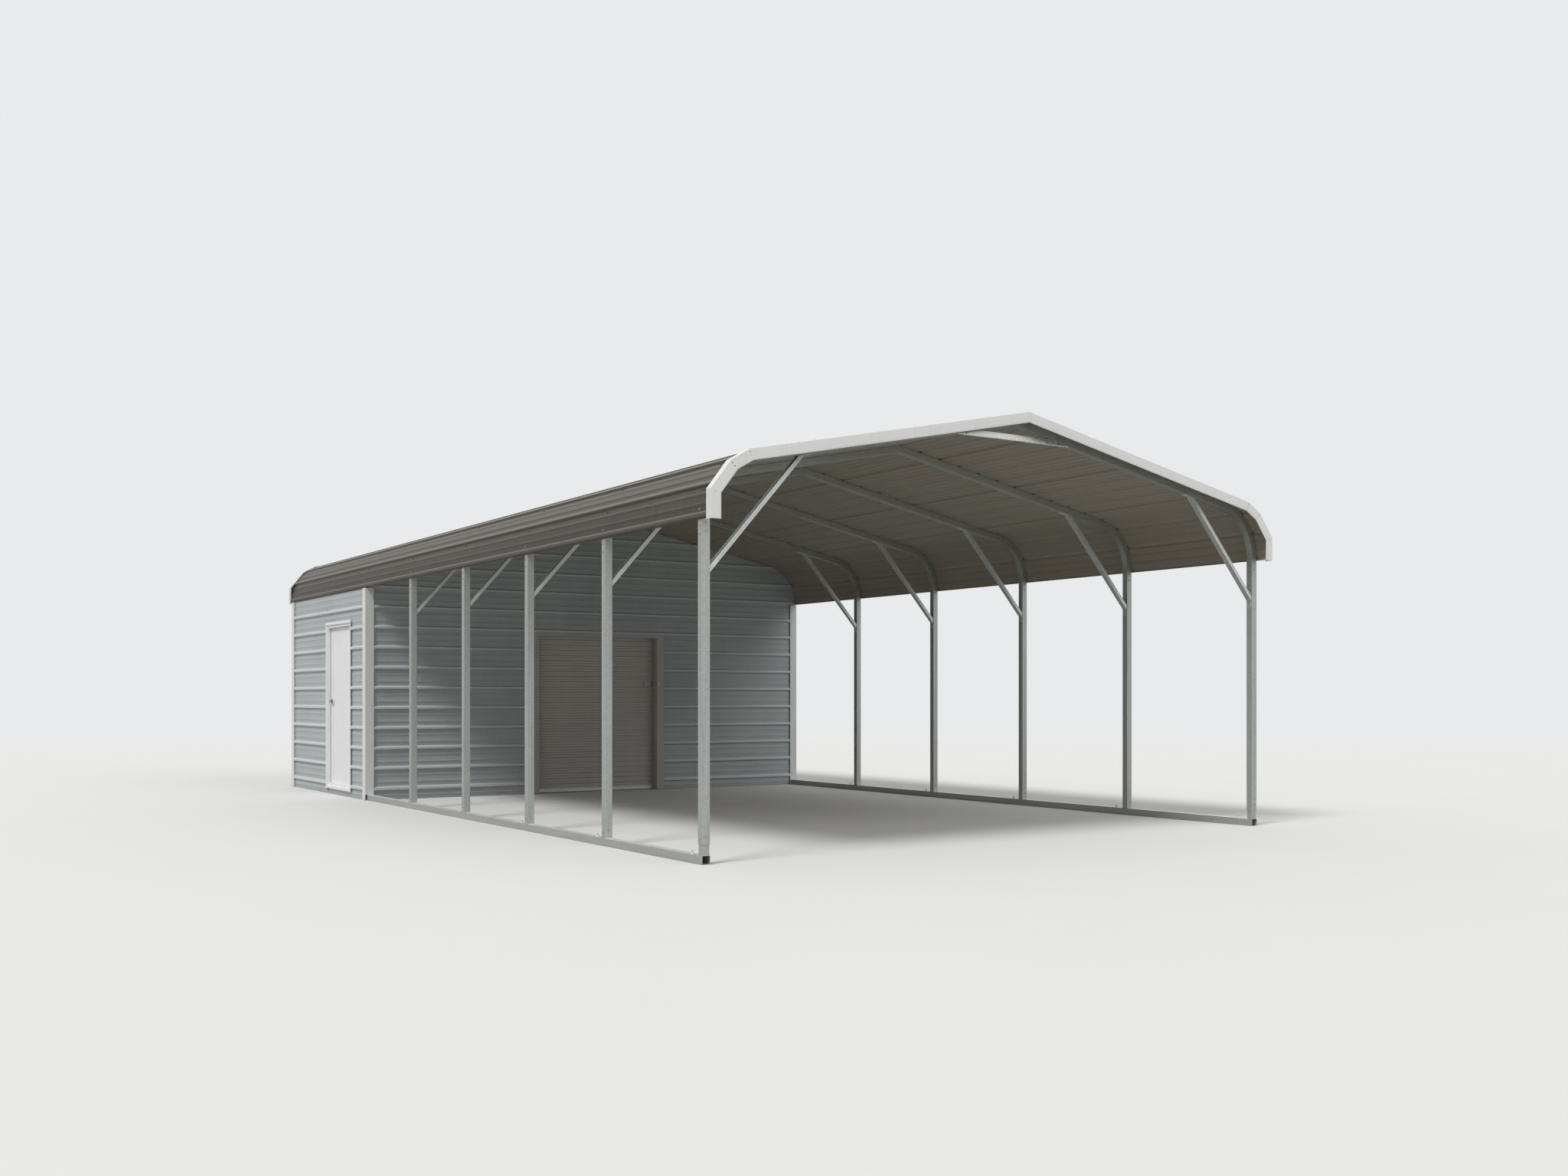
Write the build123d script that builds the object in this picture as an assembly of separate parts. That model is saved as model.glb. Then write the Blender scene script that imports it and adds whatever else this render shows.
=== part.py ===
from build123d import *
import os
from math import ceil, cos, floor, radians, sin, tan

# A steel tube carport with rounded eaves and ribbed roof sheets laid lengthwise.
# Five open bays in front, and two bays at the back closed in as a store room, with a
# roll-up door in its front wall and a walk-in door in its left side.
# X runs across the carport, Y from the open front to the back, Z up from the ground.

# Frame tubes, in millimetres
tube = 63.5
tube_wall = 2.0
bay = 1524.0
bay_count = 7
open_bay_count = 5
frame_width = 5760.0
leg_over_door = 368.0
bow_straight = 22.0
stub_width = 57.0
stub_height = 150.0
front_leg_lift = 75.0
rear_post_count = 3

# Roof shape, taken at the top of the frame tubes
roof_pitch = radians(11.5)
eave_radius = 470.0
roof_overhang = 152.0
hem_drop = 6.0

# Ribbed sheet
sheet = 2.0
side_sheets = ("upper_roof_panel", "lower_roof_panel", "eave_panel")
ribs_per_sheet = 4
rib_height = 20.0
rib_foot = 27.0
rib_flank = radians(55)
lap_gap = 0.3
wall_foot_gap = 6.0
wall_first_rib = 125.0
cut_gap = 2.0
seat_gap = 0.3
cut_past = 1.0
cut_slack = 200.0

# Bent edge trims
trim = 1.5
gable_trim_face = 84.0
gable_trim_return = 60.0
gable_trim_drop = 10.0
eave_facets = (radians(52), radians(30))
corner_trim_leg = 100.0

# Braces
brace_foot_drop = 350.0
brace_reach = 820.0
brace_width = 50.0
brace_depth = 32.0
brace_wall = 2.0
peak_brace_length = 1180.0
peak_brace_height = 44.0
peak_brace_depth = 30.0

# Roll-up door
roll_opening = 1600.0
roll_head = 1900.0
jamb_trim_face = 100.0
head_trim_face = 40.0
curtain_lap = 50.0
curtain_pitch = 63.5
curtain_depth = 12.0
curtain_sheet = 1.5
curtain_flat_share = 0.35
curtain_side_gap = 5.0
bottom_bar_height = 38.0
bottom_bar_depth = 30.0
bottom_bar_gap = 8.0
guide_depth = 45.0
guide_wall = 2.0
guide_cheek = 24.0
coil_radius = 110.0
coil_rise = 190.0
axle_radius = 16.0
bracket_plate = 5.0
bracket_gap = 12.0
bracket_rise = 110.0
bracket_past_axle = 48.0

# Walk-in door
door_rough_width = 956.0
door_head = 2032.0
jamb = 25.0
flange_lap = 30.0
slab_thickness = 40.0
slab_gap = 5.5
latch_side_gap = 7.0
stop_depth_gap = 5.0
stop_lap = 6.0
sill_height = 54.0
hinge_height = 100.0
hinge_leaf = 28.0
hinge_plate = 2.5
knuckle_radius = 6.5
pin_radius = 3.0
pin_gap = 0.3
hinge_end_share = 0.3
hinge_from_foot = 254.0
hinge_from_top = 178.0
lever_height = 990.0
lever_backset = 62.0
rose_radius = 26.0
rose_depth = 8.0
lever_neck_radius = 9.0
lever_spindle = 8.0
lever_reach = 110.0
lever_standoff = 28.0
lever_bar = 14.0
lever_hole_gap = 4.0

# Worked-out places
half_width = frame_width / 2
leg_top = door_head + leg_over_door
brace_foot_height = leg_top - brace_foot_drop
hem_height = leg_top - hem_drop
frame_length = bay_count * bay + tube
first_frame = -frame_length / 2
roof_start = first_frame - roof_overhang
roof_length = frame_length + 2 * roof_overhang
partition_y = first_frame + open_bay_count * bay
rear_y = first_frame + frame_length
turn = radians(90) - roof_pitch
eave_tangent = eave_radius * tan(turn / 2)
bend_foot = leg_top + bow_straight
ridge_height = bend_foot + eave_tangent + half_width * tan(roof_pitch)
slope_length = half_width / cos(roof_pitch) - eave_tangent
bend_end = slope_length + eave_radius * turn
hem_rib = bend_end + bend_foot - hem_height - rib_foot
sheet_cover = hem_rib / (len(side_sheets) + 1 / 2)
rib_pitch = sheet_cover / ribs_per_sheet
trim_plane = rib_height + seat_gap


def frame_y(index):
    """Front face of a frame, counted from the front."""
    return first_frame + index * bay


def block(x, y, z):
    """A box between two values on each axis."""
    size = (x[1] - x[0], y[1] - y[0], z[1] - z[0])
    middle = ((x[0] + x[1]) / 2, (y[0] + y[1]) / 2, (z[0] + z[1]) / 2)
    return Pos(*middle) * Box(*size)


def hollow(x, y, z, along, wall):
    """A square tube between two corners, open at both ends along one axis."""
    spans = [x, y, z]
    inner = []
    for axis, span in enumerate(spans):
        step = -cut_past if axis == along else wall
        inner.append((span[0] + step, span[1] - step))
    return block(x, y, z) - block(*inner)


def mirrored(shape):
    return mirror(shape, about=Plane.YZ)


def save(name, *shapes):
    """One file for each named piece. Like solids that don't touch share one."""
    solids = []
    for shape in shapes:
        solids.extend(shape.solids())
    export_step(Compound(children=solids), "parts/" + name + ".step")


# The roof line, as seen from the front

def roof_point(s, h):
    """A place s along the roof from the ridge, h out from the tubes' top. Left of the ridge s is negative."""
    side = -1 if s < 0 else 1
    s = abs(s)
    if s <= slope_length:
        x = s * cos(roof_pitch) + h * sin(roof_pitch)
        z = ridge_height - s * sin(roof_pitch) + h * cos(roof_pitch)
    elif s <= bend_end:
        angle = roof_pitch + (s - slope_length) / eave_radius
        x = half_width - eave_radius + (eave_radius + h) * sin(angle)
        z = bend_foot + (eave_radius + h) * cos(angle)
    else:
        x = half_width + h
        z = bend_foot - (s - bend_end)
    return side * x, z


def roof_edges(h, foot, y):
    """Edges of one line at h above the tubes, from the right foot over the ridge to the left foot."""
    bend = [roof_point(bend_end, h), roof_point((slope_length + bend_end) / 2, h), roof_point(slope_length, h)]
    right = [(x, y, z) for x, z in bend]
    left = [(-x, y, z) for x, z in bend]
    ridge = (0, y, ridge_height + h / cos(roof_pitch))
    return [
        Line((half_width + h, y, foot), right[0]),
        ThreePointArc(*right),
        Line(right[2], ridge),
        Line(ridge, left[2]),
        ThreePointArc(left[2], left[1], left[0]),
        Line(left[0], (-half_width - h, y, foot)),
    ]


def roof_band(outer, inner, foot, y):
    """The face between two lines of the roof."""
    feet = [Line((side * (half_width + outer), y, foot), (side * (half_width + inner), y, foot)) for side in (-1, 1)]
    return make_face(roof_edges(outer, foot, y) + roof_edges(inner, foot, y) + feet)


def gable_prism(inset, foot, y, depth):
    """Everything under the roof line, to trim an end wall."""
    base = Line((-half_width + inset, y, foot), (half_width - inset, y, foot))
    return extrude(make_face(roof_edges(-inset, foot, y) + [base]), amount=depth, dir=(0, 1, 0))


# Ribbed sheet: a profile is a list of places (s along the sheet, h out of it)

def rib_half(level, height):
    """Half the width of a rib at a height, on a surface that lies level under the sheet's top."""
    return rib_foot - level * tan(rib_flank / 2) - (height - sheet + level) / tan(rib_flank)


def full_rib(centre, level):
    low = sheet - level
    crest = rib_height - level
    foot_half = rib_half(level, low)
    crest_half = rib_half(level, crest)
    return [
        (centre - foot_half, low),
        (centre - crest_half, crest),
        (centre + crest_half, crest),
        (centre + foot_half, low),
    ]


def under_lap(seam, level):
    """The edge that tucks up inside the next sheet's rib."""
    depth = level + sheet + lap_gap
    crest = rib_height - depth
    low = sheet - level
    return [
        (seam, crest),
        (seam + rib_half(depth, crest), crest),
        (seam + rib_half(depth, low), low),
    ]


def over_lap(seam, level):
    """The edge rib that covers the next sheet's upturned edge and stops just above its pan."""
    stop = sheet + lap_gap
    return full_rib(seam, level)[:3] + [(seam + rib_half(level, stop), stop)]


def joined(points, place):
    """Edges through the points of a profile, with arcs where the sheet follows the eave bend."""
    edges = []
    for (s0, h0), (s1, h1) in zip(points, points[1:]):
        stops = [s0, s1]
        if h0 == h1:
            stops = [s0] + [s for s in (slope_length, bend_end) if s0 < s < s1] + [s1]
        for a, b in zip(stops, stops[1:]):
            ha = h0 if a == s0 else h1
            hb = h1 if b == s1 else h0
            curved = h0 == h1 and a >= slope_length and b <= bend_end
            if curved and place is roof_place:
                edges.append(ThreePointArc(place(a, ha), place((a + b) / 2, ha), place(b, hb)))
            else:
                edges.append(Line(place(a, ha), place(b, hb)))
    return edges


def roof_place(s, h):
    x, z = roof_point(s, h)
    return x, roof_start, z


def sheet_face(top, bottom, place):
    """The cut face of a sheet, between its top and its underside."""
    ends = [Line(place(*top[0]), place(*bottom[0])), Line(place(*top[-1]), place(*bottom[-1]))]
    return make_face(joined(top, place) + joined(bottom, place) + ends)


def roof_sheet(profile):
    """A roof sheet from the function that gives its profile on each of its two surfaces."""
    face = sheet_face(profile(0), profile(sheet), roof_place)
    return extrude(face, amount=roof_length, dir=(0, 1, 0))


def ridge_profile(level):
    right = full_rib(rib_pitch, level) + over_lap(sheet_cover / 2, level)
    left = [(-s, h) for s, h in reversed(right)]
    return left + full_rib(0, level) + right


def slope_profile(seam, level):
    points = under_lap(seam, level)
    for rib in range(1, ribs_per_sheet):
        points += full_rib(seam + rib * rib_pitch, level)
    return points + over_lap(seam + sheet_cover, level)


def eave_profile(seam, level):
    """The sheet that follows the eave bend down to a last rib at the hem."""
    points = under_lap(seam, level)
    for rib in range(1, ribs_per_sheet + 1):
        points += full_rib(seam + rib * rib_pitch, level)
    return points


# Walls: a profile runs up from the foot of the sheet

def wall_profile(foot, top, level):
    low = sheet - level
    points = [(foot, low)]
    first = ceil((foot + rib_foot - wall_first_rib) / rib_pitch)
    last = floor((top - rib_foot - wall_first_rib) / rib_pitch)
    for rib in range(first, last + 1):
        points += full_rib(wall_first_rib + rib * rib_pitch, level)
    return points + [(top, low)]


def side_wall(y, z):
    """Siding on the left side, ribs to the outside."""
    def place(s, h):
        return -half_width - h, y[0], s
    face = sheet_face(wall_profile(*z, 0), wall_profile(*z, sheet), place)
    return extrude(face, amount=y[1] - y[0], dir=(0, 1, 0))


def end_wall(x, z, y, out):
    """Siding across the carport, cut to the roof line. out is -1 for ribs to the front."""
    def place(s, h):
        return x[0], y + out * h, s
    face = sheet_face(wall_profile(*z, 0), wall_profile(*z, sheet), place)
    wall = extrude(face, amount=x[1] - x[0], dir=(1, 0, 0))
    depth = 4 * rib_height
    return wall & gable_prism(seat_gap, wall_foot_gap / 2, y - depth / 2, depth)


def rail_notch():
    """The room that the left base rail takes where it runs through the front of the store room."""
    x = (-half_width - trim_plane + seat_gap, tube - half_width + seat_gap)
    return block(x, (partition_y - 2 * rib_height, partition_y), (-cut_past, tube + seat_gap))


# Frames

def bow(index):
    """A roof bow bent from one tube, closed, with a sleeve at each end that goes down into the leg."""
    y = frame_y(index)
    body = extrude(roof_band(0, -tube, leg_top, y), amount=tube, dir=(0, 1, 0))
    side = (tube - stub_width) / 2
    for x0 in (-half_width, half_width - tube):
        span = (x0 + side, x0 + tube - side)
        deep = (y + side, y + tube - side)
        body += hollow(span, deep, (leg_top - stub_height, leg_top + tube_wall), 2, tube_wall)
    return body


def leg(index):
    """The left leg of a frame. The front legs stand a little up their stubs."""
    y = frame_y(index)
    foot = tube + (front_leg_lift if index == 0 else 0)
    return hollow((-half_width, tube - half_width), (y, y + tube), (foot, leg_top), 2, tube_wall)


def leg_stub(index):
    """The short tube on the left base rail that a leg slides over."""
    y = frame_y(index)
    side = (tube - stub_width) / 2
    stub_x = (-half_width + side, tube - half_width - side)
    return hollow(stub_x, (y + side, y + tube - side), (tube, tube + stub_height), 2, tube_wall)


def side_rail():
    """The left base rail, in one length."""
    return hollow((-half_width, tube - half_width), (first_frame, rear_y), (0, tube), 1, tube_wall)


def knee_brace(index):
    """A channel from the leg up to the bow, cut to lie flat against both."""
    y = frame_y(index) + tube / 2
    leg_face = -half_width + tube
    start = Vector(leg_face, y, brace_foot_height)
    top_s = (half_width - brace_reach) / cos(roof_pitch)
    top_x, top_z = roof_point(-top_s, -tube)
    end = Vector(top_x, y, top_z)
    along = (end - start).normalized()
    plane = Plane(origin=start - along * cut_slack, x_dir=(0, 1, 0), z_dir=along)
    section = Rectangle(brace_width, brace_depth)
    section -= Pos(0, brace_wall) * Rectangle(brace_width - 2 * brace_wall, brace_depth)
    body = extrude(plane * section, amount=(end - start).length + 2 * cut_slack)
    room = gable_prism(tube + seat_gap, brace_foot_height - 2 * cut_slack, y - tube, 2 * tube)
    return body & room


def peak_brace():
    """A shallow channel across the front frame just under the ridge, cut to the slope at both ends."""
    y = first_frame
    reach = peak_brace_length / 2
    top = roof_point(reach / cos(roof_pitch), -tube)[1] + peak_brace_height
    body = block((-half_width, half_width), (y, y + peak_brace_depth), (top - peak_brace_height, top))
    inside_y = (y + brace_wall, y + peak_brace_depth + brace_wall)
    inside_z = (top - peak_brace_height + brace_wall, top - brace_wall)
    body -= block((-half_width, half_width), inside_y, inside_z)
    return body & gable_prism(tube + seat_gap, leg_top, y - tube, 3 * tube)


# Trims

def facet_point(first, second, reach):
    """Where two lines that touch the circle round the eave bend meet. Angles are those of their normals."""
    middle = (first + second) / 2
    radius = (eave_radius + reach) / cos((first - second) / 2)
    return half_width - eave_radius + radius * sin(middle), bend_foot + radius * cos(middle)


def facet_line(reach, foot, y):
    """The gable trim's line at one distance from the tubes: a plumb foot, two facets and the slope."""
    normals = [radians(90)] + list(eave_facets) + [roof_pitch]
    points = [(half_width + reach, foot)]
    for first, second in zip(normals, normals[1:]):
        points.append(facet_point(first, second, reach))
    points.append((0, ridge_height + reach / cos(roof_pitch)))
    points += [(-x, z) for x, z in reversed(points[:-1])]
    return [(x, y, z) for x, z in points]


def facet_band(outer, inner, foot, y, depth):
    ring = facet_line(outer, foot, y) + list(reversed(facet_line(inner, foot, y)))
    return extrude(make_face(Polyline(*ring, close=True)), amount=depth, dir=(0, 1, 0))


def gable_trim():
    """The bent trim over the front ends of the roof sheets."""
    foot = hem_height - gable_trim_drop
    top = trim_plane + trim
    face = facet_band(top, top - gable_trim_face, foot, roof_start - trim, trim)
    lip = facet_band(top, trim_plane, foot, roof_start - trim, gable_trim_return + trim)
    return face + lip


def corner_trim(y, out):
    """An angle that covers a left corner of the store room. out is -1 at its front."""
    outer = trim_plane + trim
    z = (wall_foot_gap, hem_height - cut_gap)
    face_y = sorted((y + out * trim_plane, y + out * outer))
    across = block((-half_width - outer, -half_width - outer + corner_trim_leg), face_y, z)
    side_y = sorted((y + out * outer, y + out * outer - out * corner_trim_leg))
    along = block((-half_width - outer, -half_width - trim_plane), side_y, z)
    return across + along


# Roll-up door

half_opening = roll_opening / 2
post_back = partition_y + tube
curtain_y = post_back + guide_depth / 2
coil_height = roll_head + coil_rise
coil_y = curtain_y + curtain_depth / 2 + seat_gap + coil_radius


def partition_frame():
    """Two posts beside the roll-up door, up to the bow, and the tube across its head."""
    z = (tube, ridge_height)
    post = hollow((-half_opening - tube, -half_opening), (partition_y, post_back), z, 2, tube_wall)
    posts = post + mirrored(post)
    head = hollow((-half_opening, half_opening), (partition_y, post_back), (roll_head, roll_head + tube), 0, tube_wall)
    return (posts + head) & gable_prism(tube + seat_gap, 0, partition_y - tube, 3 * tube)


def rear_posts():
    """Posts behind the rear siding, evenly spaced."""
    room = gable_prism(tube + seat_gap, 0, rear_y - 2 * tube, 3 * tube)
    spacing = frame_width / (rear_post_count + 1)
    posts = []
    for number in range(1, rear_post_count + 1):
        x = number * spacing - half_width
        post = hollow((x - tube / 2, x + tube / 2), (rear_y - tube, rear_y), (tube, ridge_height), 2, tube_wall)
        posts.append(post & room)
    return posts


def partition_rail():
    return hollow((tube - half_width, -half_opening), (partition_y, post_back), (0, tube), 0, tube_wall)


def roll_curtain():
    """The ribbed curtain, pressed in even waves, from the bottom bar up to the coil."""
    half = half_opening + curtain_lap
    foot = bottom_bar_gap + bottom_bar_height
    waves = round((coil_height - foot) / curtain_pitch)
    step = (coil_height - foot) / waves
    flat = step * curtain_flat_share
    front = []
    for wave in range(waves):
        z = foot + wave * step
        front += [(z, 0), (z + flat, 0), (z + step / 2, 1), (z + step / 2 + flat, 1)]
    front.append((coil_height, 0))
    deep = curtain_depth - curtain_sheet
    y0 = curtain_y - curtain_depth / 2
    outer = [(-half, y0 + deep * level, z) for z, level in front]
    inner = [(-half, y + curtain_sheet, z) for _, y, z in outer]
    face = make_face(Polyline(*(outer + list(reversed(inner))), close=True))
    return extrude(face, amount=2 * half, dir=(1, 0, 0))


def bottom_bar():
    """The stiff bar along the curtain's foot."""
    half = half_opening - guide_cheek / 2
    y = (curtain_y - bottom_bar_depth / 2, curtain_y + bottom_bar_depth / 2)
    bar = block((-half, half), y, (bottom_bar_gap, bottom_bar_gap + bottom_bar_height))
    inner_y = (y[0] + guide_wall, y[1] - guide_wall)
    inner_z = (bottom_bar_gap - cut_past, bottom_bar_gap + bottom_bar_height - guide_wall)
    return bar - block((-half - cut_past, half + cut_past), inner_y, inner_z)


def roll_guide():
    """The left guide channel, fixed behind the post, open towards the curtain."""
    outer_x = -half_opening - curtain_lap - guide_wall - curtain_side_gap
    x = (outer_x, -half_opening + guide_cheek / 2)
    y = (post_back, post_back + guide_depth)
    z = (bottom_bar_gap, coil_height - coil_radius)
    inner_x = (x[0] + guide_wall, x[1] + cut_past)
    inner_y = (y[0] + guide_wall, y[1] - guide_wall)
    return block(x, y, z) - block(inner_x, inner_y, (z[0] - cut_past, z[1] + cut_past))


def coil():
    """The closed door's last turns on their barrel, with the axle that sticks out at both ends."""
    half = half_opening + curtain_lap
    spot = Pos(0, coil_y, coil_height) * Rot(0, 90, 0)
    return spot * Cylinder(coil_radius, 2 * half) + spot * Cylinder(axle_radius, 2 * half + 2 * bracket_gap)


def coil_bracket():
    """The left plate that carries the barrel's axle, bolted to the back of the post."""
    half = half_opening + curtain_lap + bracket_gap
    y = (post_back, coil_y + bracket_past_axle)
    z = (coil_height - coil_radius + cut_gap, coil_height + bracket_rise)
    plate = block((-half - bracket_plate, -half), y, z)
    foot = block((-half - bracket_plate, -half_opening - curtain_lap), (y[0], y[0] + bracket_plate), z)
    return plate + foot


# Walk-in door, in the left side between the front corner of the store room and the next leg

door_back = frame_y(open_bay_count + 1)
door_front = door_back - door_rough_width
wall_face = -half_width
post_face = tube - half_width
flange_face = wall_face - trim_plane - trim
opening_y = (door_front + jamb, door_back - jamb)
opening_z = (tube + sill_height, door_head - jamb)
slab_y = (opening_y[0] + slab_gap, opening_y[1] - latch_side_gap)
slab_z = (opening_z[0] + slab_gap, opening_z[1] - slab_gap)
slab_x = (post_face - slab_thickness, post_face)
hinge_x = post_face + knuckle_radius + seat_gap
hinge_y = opening_y[0] + slab_gap / 2
lever_y = slab_y[1] - lever_backset
lever_z = slab_z[0] + lever_height


def door_framing():
    """A post and a head tube that frame the walk-in door between two legs."""
    head = hollow((wall_face, post_face), (partition_y + tube, door_back), (door_head, door_head + tube), 1, tube_wall)
    post = hollow((wall_face, post_face), (door_front - tube, door_front), (tube, door_head), 2, tube_wall)
    return head + post


def door_frame():
    """The door's own frame: jambs and sill with a stop outside the slab, and a flange on the siding."""
    ring_y = (door_front, door_back)
    ring_z = (tube, door_head)
    frame = block((flange_face, post_face), ring_y, ring_z)
    flange_y = (door_front - flange_lap, door_back + flange_lap)
    frame += block((flange_face, flange_face + trim), flange_y, (tube, door_head + flange_lap))
    stop_face = slab_x[0] - stop_depth_gap
    frame -= block((stop_face, post_face + cut_past), opening_y, opening_z)
    clear_y = (slab_y[0] + stop_lap, slab_y[1] - stop_lap)
    clear_z = (slab_z[0] + stop_lap, slab_z[1] - stop_lap)
    return frame - block((flange_face - cut_past, stop_face + cut_past), clear_y, clear_z)


def door_slab():
    slab = block(slab_x, slab_y, slab_z)
    middle = (slab_x[0] + slab_x[1]) / 2
    hole = Cylinder(lever_spindle / 2 + lever_hole_gap, 2 * slab_thickness)
    return slab - Pos(middle, lever_y, lever_z) * Rot(0, 90, 0) * hole


def hinge(low, moving):
    """One hinge half. The fixed half has the end knuckles and the pin, the moving one the middle knuckle."""
    end = hinge_height * hinge_end_share
    whole = (low, low + hinge_height)
    ends = [(low, low + end), (low + hinge_height - end, low + hinge_height)]
    spans = [(low + end, low + hinge_height - end)] if moving else ends
    plate_x = (post_face, post_face + hinge_plate)
    clear = knuckle_radius + seat_gap
    if moving:
        plate_y = (hinge_y + clear, slab_y[0] + hinge_leaf)
        web_y = (hinge_y, hinge_y + clear)
    else:
        plate_y = (opening_y[0] - hinge_leaf, hinge_y - clear)
        web_y = (hinge_y - clear, hinge_y)
    half = block(plate_x, plate_y, whole)
    inset = seat_gap if moving else 0
    for z0, z1 in spans:
        at = Pos(hinge_x, hinge_y, (z0 + z1) / 2)
        half += at * Cylinder(knuckle_radius, z1 - z0 - 2 * inset)
        half += block((plate_x[0] + seat_gap, plate_x[1]), web_y, (z0 + inset, z1 - inset))
    pin_at = Pos(hinge_x, hinge_y, low + hinge_height / 2)
    if moving:
        return half - pin_at * Cylinder(pin_radius + pin_gap, 2 * hinge_height)
    return half + pin_at * Cylinder(pin_radius, hinge_height)


def lever():
    """A lever on each side of the slab, on one spindle."""
    at = Pos((slab_x[0] + slab_x[1]) / 2, lever_y, lever_z) * Rot(0, 90, 0)
    handle = at * Box(lever_spindle, lever_spindle, slab_thickness + 2 * rose_depth)
    for side, face in ((-1, slab_x[0]), (1, slab_x[1])):
        inner = face + side * seat_gap
        rose_x = sorted((inner, inner + side * rose_depth))
        rose_at = Pos(sum(rose_x) / 2, lever_y, lever_z) * Rot(0, 90, 0)
        handle += rose_at * Cylinder(rose_radius, rose_depth)
        tip = face + side * (rose_depth + lever_standoff)
        neck_x = sorted((inner + side * rose_depth / 2, tip))
        neck_at = Pos(sum(neck_x) / 2, lever_y, lever_z) * Rot(0, 90, 0)
        handle += neck_at * Cylinder(lever_neck_radius, neck_x[1] - neck_x[0])
        bar_x = sorted((tip, tip - side * lever_bar))
        bar_y = (lever_y - lever_reach, lever_y + lever_bar / 2)
        handle += block(bar_x, bar_y, (lever_z - lever_bar / 2, lever_z + lever_bar / 2))
    return handle


# Every piece, saved under its name

os.makedirs("parts", exist_ok=True)

for number in range(bay_count + 1):
    save("frame_" + str(number + 1) + "_bow", bow(number))

left_legs = [leg(number) for number in range(bay_count + 1)]
save("left_legs", *left_legs)
save("right_legs", *[mirrored(piece) for piece in left_legs])

left_rail = side_rail()
save("left_base_rail", left_rail)
save("right_base_rail", mirrored(left_rail))
left_stubs = [leg_stub(number) for number in range(bay_count + 1)]
save("left_leg_stubs", *left_stubs)
save("right_leg_stubs", *[mirrored(piece) for piece in left_stubs])
save("rear_base_rail", hollow((tube - half_width, half_width - tube), (rear_y - tube, rear_y), (0, tube), 0, tube_wall))
save("partition_base_rails", partition_rail(), mirrored(partition_rail()))

braced = list(range(open_bay_count)) + [open_bay_count + 1]
all_braces = [knee_brace(number) for number in braced]
save("left_knee_braces", *[piece.solids().sort_by(Axis.X)[0] for piece in all_braces])
save("right_knee_braces", *[mirrored(piece.solids().sort_by(Axis.X)[0]) for piece in all_braces])
save("peak_brace", peak_brace())

save("ridge_panel", roof_sheet(ridge_profile))
for order, name in enumerate(side_sheets):
    seam = sheet_cover / 2 + order * sheet_cover
    profile = eave_profile if order + 1 == len(side_sheets) else slope_profile
    panel = roof_sheet(lambda level: profile(seam, level))
    save("right_" + name, panel)
    save("left_" + name, mirrored(panel))

front_trim = gable_trim()
save("front_trim", front_trim)
save("rear_trim", mirror(front_trim, about=Plane.XZ))
front_corner = corner_trim(partition_y, -1) - rail_notch()
rear_corner = corner_trim(rear_y, 1)
save("front_corner_trims", front_corner, mirrored(front_corner))
save("rear_corner_trims", rear_corner, mirrored(rear_corner))

wall_z = (wall_foot_gap, hem_height - cut_gap)
save("left_wall_front", side_wall((partition_y, door_front - cut_gap), wall_z))
save("left_wall_rear", side_wall((door_back + cut_gap, rear_y), wall_z))
over_door_z = (door_head + cut_gap, hem_height - cut_gap)
save("left_wall_over_door", side_wall((door_front - cut_gap, door_back + cut_gap), over_door_z))
save("right_wall", mirrored(side_wall((partition_y, rear_y), wall_z)))
gable_z = (wall_foot_gap, ridge_height + tube)
save("rear_wall", end_wall((-half_width, half_width), gable_z, rear_y, 1))
partition_left = end_wall((-half_width, -half_opening - cut_gap), gable_z, partition_y, -1) - rail_notch()
save("partition_left", partition_left)
save("partition_right", mirrored(partition_left))
over_roll_x = (-half_opening - cut_gap, half_opening + cut_gap)
save("partition_over_door", end_wall(over_roll_x, (roll_head + cut_gap, gable_z[1]), partition_y, -1))

save("partition_door_framing", partition_frame())
save("rear_wall_posts", *rear_posts())
save("side_door_framing", door_framing())

jamb_out = partition_y - trim_plane - trim
jamb_x = (-half_opening - jamb_trim_face, -half_opening + trim)
jamb_face = block(jamb_x, (jamb_out, jamb_out + trim), (wall_foot_gap, roll_head + head_trim_face))
jamb_lining = block((-half_opening, -half_opening + trim), (jamb_out, post_back), (wall_foot_gap, roll_head))
jamb_trim = jamb_face + jamb_lining
save("roll_up_jamb_trims", jamb_trim, mirrored(jamb_trim))
head_x = (-half_opening + trim, half_opening - trim)
head_face = block(head_x, (jamb_out, jamb_out + trim), (roll_head - trim, roll_head + head_trim_face))
head_lining = block(head_x, (jamb_out, post_back), (roll_head - trim, roll_head))
save("roll_up_head_trim", head_face + head_lining)
save("roll_up_curtain", roll_curtain())
save("roll_up_bottom_bar", bottom_bar())
save("roll_up_guides", roll_guide(), mirrored(roll_guide()))
save("roll_up_coil", coil())
save("roll_up_brackets", coil_bracket(), mirrored(coil_bracket()))

save("walk_in_frame", door_frame())
save("walk_in_slab", door_slab())
lowest_hinge = slab_z[0] + hinge_from_foot
highest_hinge = slab_z[1] - hinge_from_top - hinge_height
hinge_lows = [lowest_hinge, (lowest_hinge + highest_hinge) / 2, highest_hinge]
save("hinge_fixed_leaves", *[hinge(low, False) for low in hinge_lows])
save("hinge_moving_leaves", *[hinge(low, True) for low in hinge_lows])
save("door_lever", lever())
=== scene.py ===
import math

import bmesh
import bpy
from bpy.props import FloatProperty, FloatVectorProperty, IntProperty, PointerProperty
from mathutils import Matrix, Vector
from mathutils.bvhtree import BVHTree


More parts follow.
